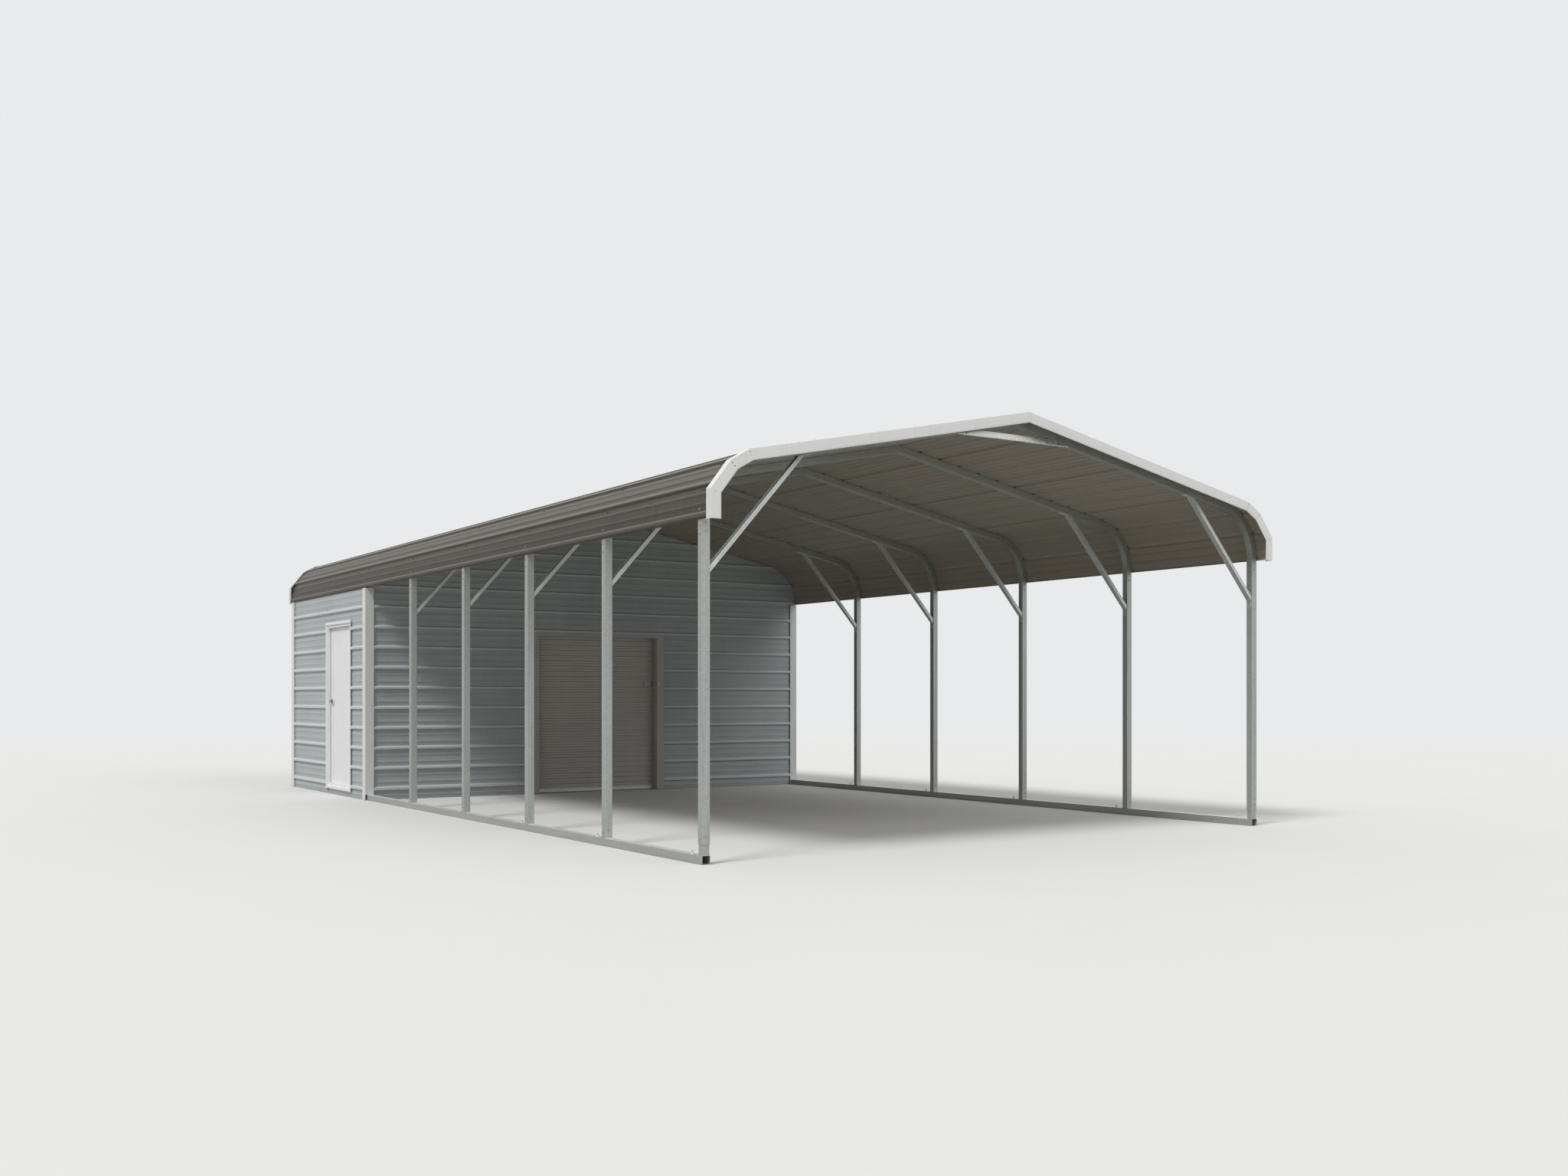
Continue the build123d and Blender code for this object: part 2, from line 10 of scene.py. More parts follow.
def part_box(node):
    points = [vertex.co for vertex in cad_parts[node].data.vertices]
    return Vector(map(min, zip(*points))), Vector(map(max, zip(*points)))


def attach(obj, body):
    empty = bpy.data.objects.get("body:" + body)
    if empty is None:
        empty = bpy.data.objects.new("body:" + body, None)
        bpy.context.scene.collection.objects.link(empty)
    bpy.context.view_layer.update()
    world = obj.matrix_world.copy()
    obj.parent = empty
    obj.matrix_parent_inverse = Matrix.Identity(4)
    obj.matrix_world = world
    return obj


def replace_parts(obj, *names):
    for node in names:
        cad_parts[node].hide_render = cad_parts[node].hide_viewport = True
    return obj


bl_info = {
    "name": "Steel carport",
    "version": (1, 0, 0),
    "blender": (4, 5, 0),
    "location": "3D View > Sidebar > Carport",
    "description": "Dresses the frame of a steel tube carport with its finishes and small parts",
    "category": "Add Mesh",
}

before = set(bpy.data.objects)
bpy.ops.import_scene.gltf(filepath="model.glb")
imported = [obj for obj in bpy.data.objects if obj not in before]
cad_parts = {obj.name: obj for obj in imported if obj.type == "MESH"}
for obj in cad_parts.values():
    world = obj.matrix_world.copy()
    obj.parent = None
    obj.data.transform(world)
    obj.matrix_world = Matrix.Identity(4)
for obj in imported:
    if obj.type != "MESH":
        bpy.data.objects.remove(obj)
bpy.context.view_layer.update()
MM = 0.001
WHITE = (1.0, 1.0, 1.0)


# Sizes and colours

def linear(code):
    """An sRGB hex colour as linear red, green and blue."""
    channels = [int(code[place:place + 2], 16) / 255 for place in (1, 3, 5)]
    return tuple(c / 12.92 if c <= 0.04045 else ((c + 0.055) / 1.055) ** 2.4 for c in channels)


def length(name, description, default):
    """A size in metres."""
    return FloatProperty(name=name, description=description, default=default, unit="LENGTH", precision=4)


def colour(name, description, code):
    """A colour that is written as an sRGB hex code."""
    return FloatVectorProperty(
        name=name, description=description, default=linear(code), size=3, min=0, max=1, subtype="COLOR"
    )


def low(node):
    """The low corner of a CAD node's box."""
    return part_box(node)[0]


def high(node):
    """The high corner of a CAD node's box."""
    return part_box(node)[1]


class CarportSizes(bpy.types.PropertyGroup):
    """Sizes that the small parts are placed by, in metres."""

    tube: length("Tube", "Side of the frame's square tubes", high("left_base_rail").z)
    tube_corner: length("Tube corner", "Radius of the tubes' rolled corners", 0.0045)
    bay: length("Bay", "From one frame to the next", low("frame_2_bow").y - low("frame_1_bow").y)
    frames: IntProperty(name="Frames", description="Number of frames", default=8, min=2)
    partition_frame: IntProperty(
        name="Partition frame", description="Frame that carries the partition", default=6
    )
    half_width: length("Half width", "From the middle to the legs' outer face", high("frame_1_bow").x)
    leg_top: length("Leg top", "Height where a leg meets its bow", high("left_legs").z)
    bend_foot: length("Bend foot", "Height where the bow's bend begins", high("left_legs").z + 0.022)
    eave_radius: length("Eave radius", "Radius of the bow's bend, on its outside", 0.47)
    pitch: FloatProperty(
        name="Roof pitch", description="Slope of the roof", default=math.radians(11.5), subtype="ANGLE"
    )
    rib_pitch: length("Rib pitch", "From one rib of the sheet to the next", 0.22857)
    wall_first_rib: length("First wall rib", "Height of the lowest rib of a wall", 0.125)
    pencils: IntProperty(
        name="Pencil ribs", description="Small ribs in each pan of the sheet", default=2, min=1
    )
    pencil_height: length("Pencil rib height", "Height of the small ribs", 0.0045)
    pencil_crest: length("Pencil rib crest", "Half the width of a small rib's flat top", 0.006)
    pencil_foot: length("Pencil rib foot", "Half the width of a small rib at its foot", 0.013)
    sheet_fold: length("Sheet fold", "Radius of the folds beside a sheet's ribs", 0.0028)
    washer: length("Screw washer", "Radius of a sheet screw's washer", 0.0085)
    hex_head: length("Screw head", "Radius over the corners of a screw's hexagon", 0.0056)
    hex_height: length("Screw head height", "Height of a screw's hexagon over its washer", 0.0052)
    beside_rib: length("Screw beside rib", "From a rib's middle to the screws in the pan beside it", 0.043)
    trim_screw_step: length("Trim screw step", "From one screw of a trim to the next", 0.4572)
    lip: length("Trim lip", "Depth of the trims' folded free edges", 0.013)
    trim_bend: length("Trim bend", "Radius of the trims' folded edges", 0.0029)
    drip: length("Drip edge", "Width of the edge that is kicked out along a gable trim's foot", 0.009)
    door_flange: length("Door flange", "Width of the door frame's face on the siding", 0.034)
    door_step: length("Door step", "How far the jambs lie behind that face", 0.014)
    pin_radius: length("Ground pin", "Radius of the pins that hold the base rails down", 0.0075)
    pin_rise: length("Ground pin rise", "How far a pin's head stands over the rail", 0.024)
    pin_aside: length("Pin place", "From the middle of a leg to the pin beside it", 0.152)
    pin_outward: length("Pin outward", "From the middle of a rail out to its pins", 0.007)


class CarportColours(bpy.types.PropertyGroup):
    """Colours of the carport's finishes."""

    roof: colour("Roof", "Baked enamel on the roof's outside", "#3D3732")
    roof_fade: colour("Roof fade", "Sun-bleached parts of the roof", "#4C4640")
    # Partly painted shade: the primer is written darker and warmer than its own pale grey
    backer: colour("Backer", "Thin primer on the sheets' inside", "#958E80")
    backer_worn: colour("Worn backer", "Paler parts of the primer", "#9E978B")
    # Part dust, part painted sheen: the paler colour on the roof's faces that look up
    roof_dust_and_sheen: colour("Roof dust", "Dust and chalk on the parts of the roof that face up", "#8B867D")
    siding: colour("Siding", "Baked enamel on the walls", "#A1A7A8")
    siding_fade: colour("Siding fade", "Chalked parts of the walls", "#B2B7B7")
    # Painted highlight along the walls' rib crests and upper flanks
    siding_crest_highlight: colour("Siding crest", "Bleached crests of the walls' ribs", "#D9DEDD")
    # Painted highlight along the roof's rib crests
    roof_crest_highlight: colour("Roof crest", "Bleached crests of the roof's ribs", "#A6A298")
    trim: colour("Trim", "Baked enamel on the bent trims", "#DCDDDA")
    grime: colour("Grime", "Dust that rain leaves behind", "#857C6D")
    zinc: colour("Zinc", "Bright crystals of the tubes' zinc coat", "#B2B5B2")
    zinc_dull: colour("Dull zinc", "Dull crystals of the tubes' zinc coat", "#9A9E9A")
    # Painted highlight: the pale colour on zinc that faces up, and the peak brace's bright crystals
    zinc_painted_highlight: colour("Washed zinc", "Chalky white bloom on zinc that faces up to the rain", "#E6E7E3")
    # Painted shade: the bows' zinc is a darker copy of the tubes' zinc, and darker still on their undersides
    bow: colour("Bow", "Bright crystals of the roof bows' zinc coat", "#A9ACA3")
    bow_dull: colour("Dull bow", "Dull crystals of the roof bows' zinc coat", "#94978E")
    bow_under: colour("Bow underside", "Dulled zinc on the bows' undersides", "#777970")
    brace: colour("Brace", "Bright crystals of the braces' zinc coat", "#CDD0CC")
    brace_dull: colour("Dull brace", "Dull crystals of the braces' zinc coat", "#B6BAB6")
    # Painted shade: a darker copy of the white trim colour for the trims round the roll-up door
    jamb: colour("Jamb", "Baked enamel on the trims round the roll-up door", "#ACABA5")
    curtain: colour("Curtain", "Baked enamel on the roll-up door", "#B7B6AF")
    door: colour("Door", "Satin enamel on the walk-in door", "#E8E7E8")
    screw: colour("Screw", "Painted and zinc-plated screw heads", "#B4B4B0")
    # The rubber colour also paints the shadow along the laps of the roof sheets
    rubber: colour("Rubber", "Seal under the roll-up door, and the gap where two sheets lap", "#26282A")
    vinyl: colour("Vinyl", "Seals round the walk-in door", "#9C9C98")
    steel: colour("Fittings", "Satin steel of lever, hinges and latch", "#8D8B86")
    floor: colour("Floor", "Studio floor", "#D2D2D0")
    backdrop: colour("Backdrop", "Pale backdrop behind the carport", "#E9EAEB")


# Materials

# Places of the sockets that share a name with others: in Map Range, and among the colours of Mix.
VALUE, FROM_MIN, FROM_MAX, TO_MIN, TO_MAX = range(5)
SHARE, FIRST, SECOND = 0, 6, 7

# Turns of a pattern in a metre. Streaks follow a tube's length along Z, X or Y, and trims' run down. On the
# sheets the first number goes with the fall of the water and the second across it.
UP_STREAKS = (55.0, 55.0, 1.6)
CROSS_STREAKS = (1.6, 55.0, 55.0)
LONG_STREAKS = (55.0, 1.6, 55.0)
TRIM_RUNS = (22.0, 22.0, 2.5)
ROOF_RUNS = (1.3, 14.0, 1.0)
BACKER_RUNS = (1.3, 5.0, 1.0)
WALL_RUNS = (1.5, 12.0, 1.0)
STEEL_GRAIN = (900.0, 60.0, 900.0)

# How much of its light a finish keeps where it has dulled
SCREW_DULL = 0.72
STEEL_DULL = 0.7


def add(tree, kind, sockets=None, **settings):
    """One node with its settings. A socket takes a number, a colour or another node's output."""
    made = tree.nodes.new(kind)
    for name, value in settings.items():
        setattr(made, name, value)
    for key, value in (sockets or {}).items():
        if isinstance(value, bpy.types.NodeSocket):
            tree.links.new(value, made.inputs[key])
        else:
            made.inputs[key].default_value = value
    return made


def opaque(value, share=1.0):
    """A colour, or a share of its light, as a shader takes it."""
    return (*(channel * share for channel in value), 1.0)


def finish(name, build):
    """The material of that name, built the first time it is asked for."""
    known = bpy.data.materials.get(name)
    if known:
        return known
    material = bpy.data.materials.new(name)
    material.use_nodes = True
    tree = material.node_tree
    build(tree, tree.nodes["Principled BSDF"], bpy.context.scene.carport_colours)
    return material


def wire(tree, shader, colour_from, rough_from, height_from, depth):
    """Links a pattern's colour, roughness and height to the shader."""
    tree.links.new(colour_from, shader.inputs["Base Color"])
    tree.links.new(rough_from, shader.inputs["Roughness"])
    bump = add(tree, "ShaderNodeBump", {"Height": height_from, "Strength": 1.0, "Distance": depth})
    tree.links.new(bump.outputs[0], shader.inputs["Normal"])


def zinc_coat(stretch, bright, dull, under=None, metal=0.5, smooth=0.42):
    """Roll-formed tube and channel from zinc-coated strip. The eye sees pale crystals about 15 mm wide, drawn
    out into faint streaks along the tube and soft dull reflections. Faces that look up are painted paler as a
    highlight from the light above, and, where asked, faces that look down are painted darker as shade."""
    def build(tree, shader, colours):
        place = add(tree, "ShaderNodeTexCoord").outputs["Object"]
        crystals = add(tree, "ShaderNodeTexVoronoi", {"Vector": place, "Scale": 1 / (15 * MM)})
        patch = add(tree, "ShaderNodeSeparateColor", {0: crystals.outputs["Color"]}).outputs[0]
        drawn = add(tree, "ShaderNodeMapping", {"Vector": place, "Scale": stretch}).outputs[0]
        streaks = add(tree, "ShaderNodeTexNoise", {"Vector": drawn, "Scale": 1.0, "Detail": 4.0}).outputs[0]
        both = add(tree, "ShaderNodeMix", {"Factor": 0.7, "A": patch, "B": streaks}).outputs[0]
        spread = add(tree, "ShaderNodeMapRange", {VALUE: both, FROM_MIN: 0.2, FROM_MAX: 0.8}).outputs[0]
        crystal = {
            SHARE: spread, FIRST: opaque(getattr(colours, dull)), SECOND: opaque(getattr(colours, bright))
        }
        coat = add(tree, "ShaderNodeMix", crystal, data_type="RGBA").outputs[2]
        # Painted highlight: faces that look up are blended to a paler colour
        normal = add(tree, "ShaderNodeNewGeometry").outputs["Normal"]
        up = add(tree, "ShaderNodeSeparateXYZ", {0: normal}).outputs[2]
        top_highlight_share = {VALUE: up, FROM_MIN: 0.5, FROM_MAX: 0.95, TO_MAX: 0.85}
        bloom = add(tree, "ShaderNodeMapRange", top_highlight_share).outputs[0]
        chalky = {SHARE: bloom, FIRST: coat, SECOND: opaque(colours.zinc_painted_highlight)}
        coat = add(tree, "ShaderNodeMix", chalky, data_type="RGBA").outputs[2]
        # Painted shade: faces that look down are blended to a darker colour
        if under:
            below = add(tree, "ShaderNodeMapRange", {VALUE: up, FROM_MIN: -0.5, FROM_MAX: -0.9}).outputs[0]
            dulled = {SHARE: below, FIRST: coat, SECOND: opaque(getattr(colours, under))}
            coat = add(tree, "ShaderNodeMix", dulled, data_type="RGBA").outputs[2]
        uneven = {VALUE: patch, TO_MIN: smooth, TO_MAX: smooth + 0.14}
        rough = add(tree, "ShaderNodeMapRange", uneven).outputs[0]
        wire(tree, shader, coat, rough, streaks, 0.15 * MM)
        shader.inputs["Metallic"].default_value = metal
    return build


def coated_sheet(main, faded, rough, streak_scale, dust, gleam, dust_and_painted_light=None):
    """Roll-formed steel sheet with coil-coated enamel. The eye sees even satin paint on gently wavy pans,
    faintly chalked patches and thin runs of dust down the fall of the water."""
    def build(tree, shader, colours):
        place = add(tree, "ShaderNodeTexCoord").outputs["Object"]
        run = add(tree, "ShaderNodeUVMap", uv_map="run").outputs[0]
        cloudy = {"Vector": place, "Scale": 1 / 0.9, "Detail": 5.0, "Roughness": 0.6}
        patches = add(tree, "ShaderNodeTexNoise", cloudy).outputs[0]
        drawn = add(tree, "ShaderNodeMapping", {"Vector": run, "Scale": streak_scale}).outputs[0]
        streaks = add(tree, "ShaderNodeTexNoise", {"Vector": drawn, "Scale": 1.0, "Detail": 6.0}).outputs[0]
        worn = add(tree, "ShaderNodeMix", {"Factor": 0.3, "A": patches, "B": streaks}).outputs[0]
        worn = add(tree, "ShaderNodeMapRange", {VALUE: worn, FROM_MIN: 0.34, FROM_MAX: 0.70}).outputs[0]
        chalked = {
            SHARE: worn, FIRST: opaque(getattr(colours, main)), SECOND: opaque(getattr(colours, faded))
        }
        paint = add(tree, "ShaderNodeMix", chalked, data_type="RGBA").outputs[2]
        washed = {VALUE: streaks, FROM_MIN: 0.54, FROM_MAX: 0.84, TO_MAX: dust}
        washed = add(tree, "ShaderNodeMapRange", washed).outputs[0]
        dusty = {SHARE: washed, FIRST: paint, SECOND: opaque(colours.grime)}
        paint = add(tree, "ShaderNodeMix", dusty, data_type="RGBA").outputs[2]
        if dust_and_painted_light:
            paint = dust_and_painted_light(tree, colours, run, paint)
        gloss = add(tree, "ShaderNodeMapRange", {VALUE: worn, TO_MIN: rough, TO_MAX: rough + 0.14}).outputs[0]
        wavy = {"Vector": place, "Scale": 1 / 0.45, "Detail": 1.0}
        waves = add(tree, "ShaderNodeTexNoise", wavy).outputs[0]
        wire(tree, shader, paint, gloss, waves, 3 * MM)
        shader.inputs["Specular IOR Level"].default_value = gleam
    return build


def from_ridge(tree, run):
    """How far down a sheet a place lies: from the ridge, or from a wall's first rib."""
    along = add(tree, "ShaderNodeSeparateXYZ", {0: run}).outputs[0]
    return add(tree, "ShaderNodeMath", {0: along}, operation="ABSOLUTE").outputs[0]


def rib_band(tree, run, middle, half):
    """One in a band along each rib and zero elsewhere. Its middle lies that far down from the rib's own."""
    pitch = bpy.context.scene.carport_sizes.rib_pitch
    down = from_ridge(tree, run)
    moved = add(tree, "ShaderNodeMath", {0: down, 1: middle}, operation="SUBTRACT").outputs[0]
    aside = add(tree, "ShaderNodeMath", {0: moved, 1: pitch / 2}, operation="PINGPONG").outputs[0]
    return add(tree, "ShaderNodeMath", {0: aside, 1: half}, operation="LESS_THAN").outputs[0]


def roof_dust_and_highlights(tree, colours, run, paint):
    """Painted highlights along the rib crests, stronger where the roof faces up, and a paler colour on faces
    that look up, part dust and part painted sheen.
    """
    normal = add(tree, "ShaderNodeNewGeometry").outputs["Normal"]
    up = add(tree, "ShaderNodeSeparateXYZ", {0: normal}).outputs[2]
    # Part dust, part painted sheen on faces that look up
    level = {VALUE: up, FROM_MIN: 0.25, FROM_MAX: 0.95, TO_MAX: 0.40}
    settled = add(tree, "ShaderNodeMapRange", level).outputs[0]
    dusty = {SHARE: settled, FIRST: paint, SECOND: opaque(colours.roof_dust_and_sheen)}
    paint = add(tree, "ShaderNodeMix", dusty, data_type="RGBA").outputs[2]
    # Painted highlight along the rib crests, stronger where the roof faces up
    crest_light_share = {VALUE: up, FROM_MIN: 0.05, FROM_MAX: 0.5, TO_MIN: 0.1, TO_MAX: 0.32}
    painted_highlight = add(tree, "ShaderNodeMapRange", crest_light_share).outputs[0]
    crest = rib_band(tree, run, -6 * MM, 10 * MM)
    painted_highlight = add(tree, "ShaderNodeMath", {0: crest, 1: painted_highlight}, operation="MULTIPLY").outputs[0]
    crests = {SHARE: painted_highlight, FIRST: paint, SECOND: opaque(colours.roof_crest_highlight)}
    return add(tree, "ShaderNodeMix", crests, data_type="RGBA").outputs[2]


def siding_crest_highlights(tree, colours, run, paint):
    """Painted highlights along the crests and upper flanks of the ribs."""
    crest = rib_band(tree, run, 7 * MM, 12 * MM)
    painted_highlight = add(tree, "ShaderNodeMath", {0: crest, 1: 0.6}, operation="MULTIPLY").outputs[0]
    crests = {SHARE: painted_highlight, FIRST: paint, SECOND: opaque(colours.siding_crest_highlight)}
    return add(tree, "ShaderNodeMix", crests, data_type="RGBA").outputs[2]


def lap_shade(tree, colours, run, paint):
    """Painted light that lifts the shade inside the ribs, and a painted shadow along the gap where two roof
    sheets lap, every fourth rib from the second one off the ridge."""
    pitch = bpy.context.scene.carport_sizes.rib_pitch
    inside = rib_band(tree, run, 0.0, 24 * MM)
    joint = rib_band(tree, run, 0.0, 10 * MM)
    ribs = add(tree, "ShaderNodeMath", {0: from_ridge(tree, run), 1: pitch}, operation="DIVIDE").outputs[0]
    rib = add(tree, "ShaderNodeMath", {0: ribs}, operation="ROUND").outputs[0]
    turn = add(tree, "ShaderNodeMath", {0: rib, 1: 4.0}, operation="MODULO").outputs[0]
    second = add(tree, "ShaderNodeMath", {0: turn, 1: 2.0, 2: 0.1}, operation="COMPARE").outputs[0]
    above_hem = add(tree, "ShaderNodeMath", {0: rib, 1: 12.0}, operation="LESS_THAN").outputs[0]
    lap = add(tree, "ShaderNodeMath", {0: second, 1: above_hem}, operation="MULTIPLY").outputs[0]
    no_lap = add(tree, "ShaderNodeMath", {0: 1.0, 1: lap}, operation="SUBTRACT").outputs[0]
    # Painted light inside the ribs, where they are not lapped
    clean = add(tree, "ShaderNodeMath", {0: inside, 1: no_lap}, operation="MULTIPLY").outputs[0]
    clean = add(tree, "ShaderNodeMath", {0: clean, 1: 0.07}, operation="MULTIPLY").outputs[0]
    painted_rib_light = {SHARE: clean, FIRST: paint, SECOND: opaque(WHITE)}
    paint = add(tree, "ShaderNodeMix", painted_rib_light, data_type="RGBA").outputs[2]
    # Painted shadow along the laps
    dark = add(tree, "ShaderNodeMath", {0: joint, 1: lap}, operation="MULTIPLY").outputs[0]
    dark = add(tree, "ShaderNodeMath", {0: dark, 1: 0.75}, operation="MULTIPLY").outputs[0]
    painted_lap_shadow = {SHARE: dark, FIRST: paint, SECOND: opaque(colours.rubber)}
    return add(tree, "ShaderNodeMix", painted_lap_shadow, data_type="RGBA").outputs[2]


def bent_enamel(main):
    """Folded steel trim with coil-coated enamel. The eye sees clean satin paint, slight waves from the
    brake and a little dust in runs."""
    def build(tree, shader, colours):
        place = add(tree, "ShaderNodeTexCoord").outputs["Object"]
        drawn = add(tree, "ShaderNodeMapping", {"Vector": place, "Scale": TRIM_RUNS}).outputs[0]
        runs = add(tree, "ShaderNodeTexNoise", {"Vector": drawn, "Scale": 1.0, "Detail": 5.0}).outputs[0]
        washed = {VALUE: runs, FROM_MIN: 0.5, FROM_MAX: 0.85, TO_MAX: 0.12}
        washed = add(tree, "ShaderNodeMapRange", washed).outputs[0]
        dusty = {SHARE: washed, FIRST: opaque(getattr(colours, main)), SECOND: opaque(colours.grime)}
        paint = add(tree, "ShaderNodeMix", dusty, data_type="RGBA").outputs[2]
        gloss = add(tree, "ShaderNodeMapRange", {VALUE: runs, TO_MIN: 0.34, TO_MAX: 0.5}).outputs[0]
        wavy = {"Vector": place, "Scale": 1 / 0.16, "Detail": 2.0}
        waves = add(tree, "ShaderNodeTexNoise", wavy).outputs[0]
        wire(tree, shader, paint, gloss, waves, 0.6 * MM)
    return build


def door_skin(tree, shader, colours):
    """Steel door skin with sprayed satin enamel. The eye sees smooth off-white paint with a fine orange
    peel, a few mm across, and grubby patches that hands and rain leave."""
    place = add(tree, "ShaderNodeTexCoord").outputs["Object"]
    cloudy = {"Vector": place, "Scale": 1 / 0.35, "Detail": 6.0, "Roughness": 0.6}
    smears = add(tree, "ShaderNodeTexNoise", cloudy).outputs[0]
    grubby = {VALUE: smears, FROM_MIN: 0.52, FROM_MAX: 0.85, TO_MAX: 0.12}
    grubby = add(tree, "ShaderNodeMapRange", grubby).outputs[0]
    dirty = {SHARE: grubby, FIRST: opaque(colours.door), SECOND: opaque(colours.grime)}
    paint = add(tree, "ShaderNodeMix", dirty, data_type="RGBA").outputs[2]
    peel = add(tree, "ShaderNodeTexNoise", {"Vector": place, "Scale": 1 / (4 * MM), "Detail": 1.0}).outputs[0]
    gloss = add(tree, "ShaderNodeMapRange", {VALUE: smears, TO_MIN: 0.3, TO_MAX: 0.48}).outputs[0]
    wire(tree, shader, paint, gloss, peel, 0.08 * MM)


def plated_screw(main):
    """Self-drilling screw heads, zinc plated or painted. The eye sees small bright or tinted dots with
    uneven dulling."""
    def build(tree, shader, colours):
        place = add(tree, "ShaderNodeTexCoord").outputs["Object"]
        cloudy = {"Vector": place, "Scale": 1 / (30 * MM), "Detail": 2.0}
        dull = add(tree, "ShaderNodeTexNoise", cloudy).outputs[0]
        base = getattr(colours, main)
        dulled = {SHARE: dull, FIRST: opaque(base), SECOND: opaque(base, SCREW_DULL)}
        coat = add(tree, "ShaderNodeMix", dulled, data_type="RGBA").outputs[2]
        gloss = add(tree, "ShaderNodeMapRange", {VALUE: dull, TO_MIN: 0.28, TO_MAX: 0.5}).outputs[0]
        wire(tree, shader, coat, gloss, dull, 0.1 * MM)
        shader.inputs["Metallic"].default_value = 0.6 if main == "screw" else 0.0
    return build


def satin_steel(tree, shader, colours):
    """Brushed satin steel of the lever, hinges, brackets and latch. The eye sees a fine grain about half
    a millimetre wide, drawn a little coarser than it is, and dull grey reflections."""
    place = add(tree, "ShaderNodeTexCoord").outputs["Object"]
    drawn = add(tree, "ShaderNodeMapping", {"Vector": place, "Scale": STEEL_GRAIN}).outputs[0]
    grain = add(tree, "ShaderNodeTexNoise", {"Vector": drawn, "Scale": 1.0, "Detail": 2.0}).outputs[0]
    brushed = {SHARE: grain, FIRST: opaque(colours.steel), SECOND: opaque(colours.steel, STEEL_DULL)}
    metal = add(tree, "ShaderNodeMix", brushed, data_type="RGBA").outputs[2]
    gloss = add(tree, "ShaderNodeMapRange", {VALUE: grain, TO_MIN: 0.26, TO_MAX: 0.44}).outputs[0]
    wire(tree, shader, metal, gloss, grain, 0.05 * MM)
    shader.inputs["Metallic"].default_value = 1.0


def seal_rubber(main):
    """Extruded rubber or vinyl of the seals. The eye sees a matt, even strip with a grey bloom of dust."""
    def build(tree, shader, colours):
        place = add(tree, "ShaderNodeTexCoord").outputs["Object"]
        cloudy = {"Vector": place, "Scale": 1 / (60 * MM), "Detail": 4.0}
        bloom = add(tree, "ShaderNodeTexNoise", cloudy).outputs[0]
        settled = {VALUE: bloom, FROM_MIN: 0.45, FROM_MAX: 0.8, TO_MAX: 0.35}
        settled = add(tree, "ShaderNodeMapRange", settled).outputs[0]
        dusty = {SHARE: settled, FIRST: opaque(getattr(colours, main)), SECOND: opaque(colours.grime)}
        strip = add(tree, "ShaderNodeMix", dusty, data_type="RGBA").outputs[2]
        gloss = add(tree, "ShaderNodeMapRange", {VALUE: bloom, TO_MIN: 0.6, TO_MAX: 0.8}).outputs[0]
        wire(tree, shader, strip, gloss, bloom, 0.2 * MM)
    return build


def zinc(direction):
    """Zinc coat of a tube that runs up, across or along the carport."""
    stretch = {"up": UP_STREAKS, "across": CROSS_STREAKS, "along": LONG_STREAKS}[direction]
    return finish("zinc coated tube " + direction, zinc_coat(stretch, "zinc", "zinc_dull"))


# Painted shade: the bows get darker zinc colours than the other tubes
def bow_zinc_painted_shade():
    return finish("zinc coated bow", zinc_coat(CROSS_STREAKS, "bow", "bow_dull", "bow_under"))


def brace_zinc():
    return finish("zinc coated channel", zinc_coat(CROSS_STREAKS, "brace", "brace_dull"))


def glint_painted_zinc():
    """The peak brace: shinier zinc strip that mirrors the bright sky, its pale colours a painted highlight.
    """
    return finish("bright zinc channel", zinc_coat(CROSS_STREAKS, "zinc_painted_highlight", "brace", metal=0.9, smooth=0.2))


def roof_paint():
    build = coated_sheet("roof", "roof_fade", 0.46, ROOF_RUNS, dust=0.10, gleam=0.25, dust_and_painted_light=roof_dust_and_highlights)
    return finish("roof enamel", build)


def roof_backer():
    build = coated_sheet("backer", "backer_worn", 0.6, BACKER_RUNS, dust=0.05, gleam=0.3, dust_and_painted_light=lap_shade)
    return finish("roof backer primer", build)


def siding_paint():
    build = coated_sheet(
        "siding", "siding_fade", 0.38, WALL_RUNS, dust=0.10, gleam=0.35, dust_and_painted_light=siding_crest_highlights
    )
    return finish("siding enamel", build)


def siding_backer():
    build = coated_sheet("backer", "backer_worn", 0.6, WALL_RUNS, dust=0.05, gleam=0.3)
    return finish("siding backer primer", build)


def enamel(main):
    """Enamel of the trims, the jambs' trims or the curtain."""
    return finish(main + " enamel", bent_enamel(main))


def door_paint():
    return finish("door enamel", door_skin)


def steel():
    return finish("satin steel", satin_steel)


def seal(main):
    return finish("seal " + main, seal_rubber(main))


def screw_paint(main):
    return finish("screw " + main, plated_screw(main))


# Shapes

MERGE = 0.02 * MM  # corners closer than this are one
SNAP = 0.01 * MM  # a cut goes through a corner that is closer than this
FLAT = math.radians(0.8)  # faces that meet at less than this are one
SQUARE_ON = 0.9  # the least cosine between two ways that count as the same
END_DEPTH = 1.5 * MM  # how far an end's rounded rim may lie off the end's plane


def copy_of(node):
    """A CAD node's mesh with its corners merged and its flat faces whole."""
    shape = bmesh.new()
    shape.from_mesh(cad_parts[node].data)
    bmesh.ops.remove_doubles(shape, verts=shape.verts, dist=MERGE)
    make_whole(shape)
    return shape


def make_whole(shape):
    """Joins the parts of each flat face."""
    shape.normal_update()
    bmesh.ops.dissolve_limit(shape, angle_limit=FLAT, verts=shape.verts, edges=shape.edges)


def breadth(face):
    """How broad a face is: about its width where it is long and thin."""
    return 2 * face.calc_area() / face.calc_perimeter()


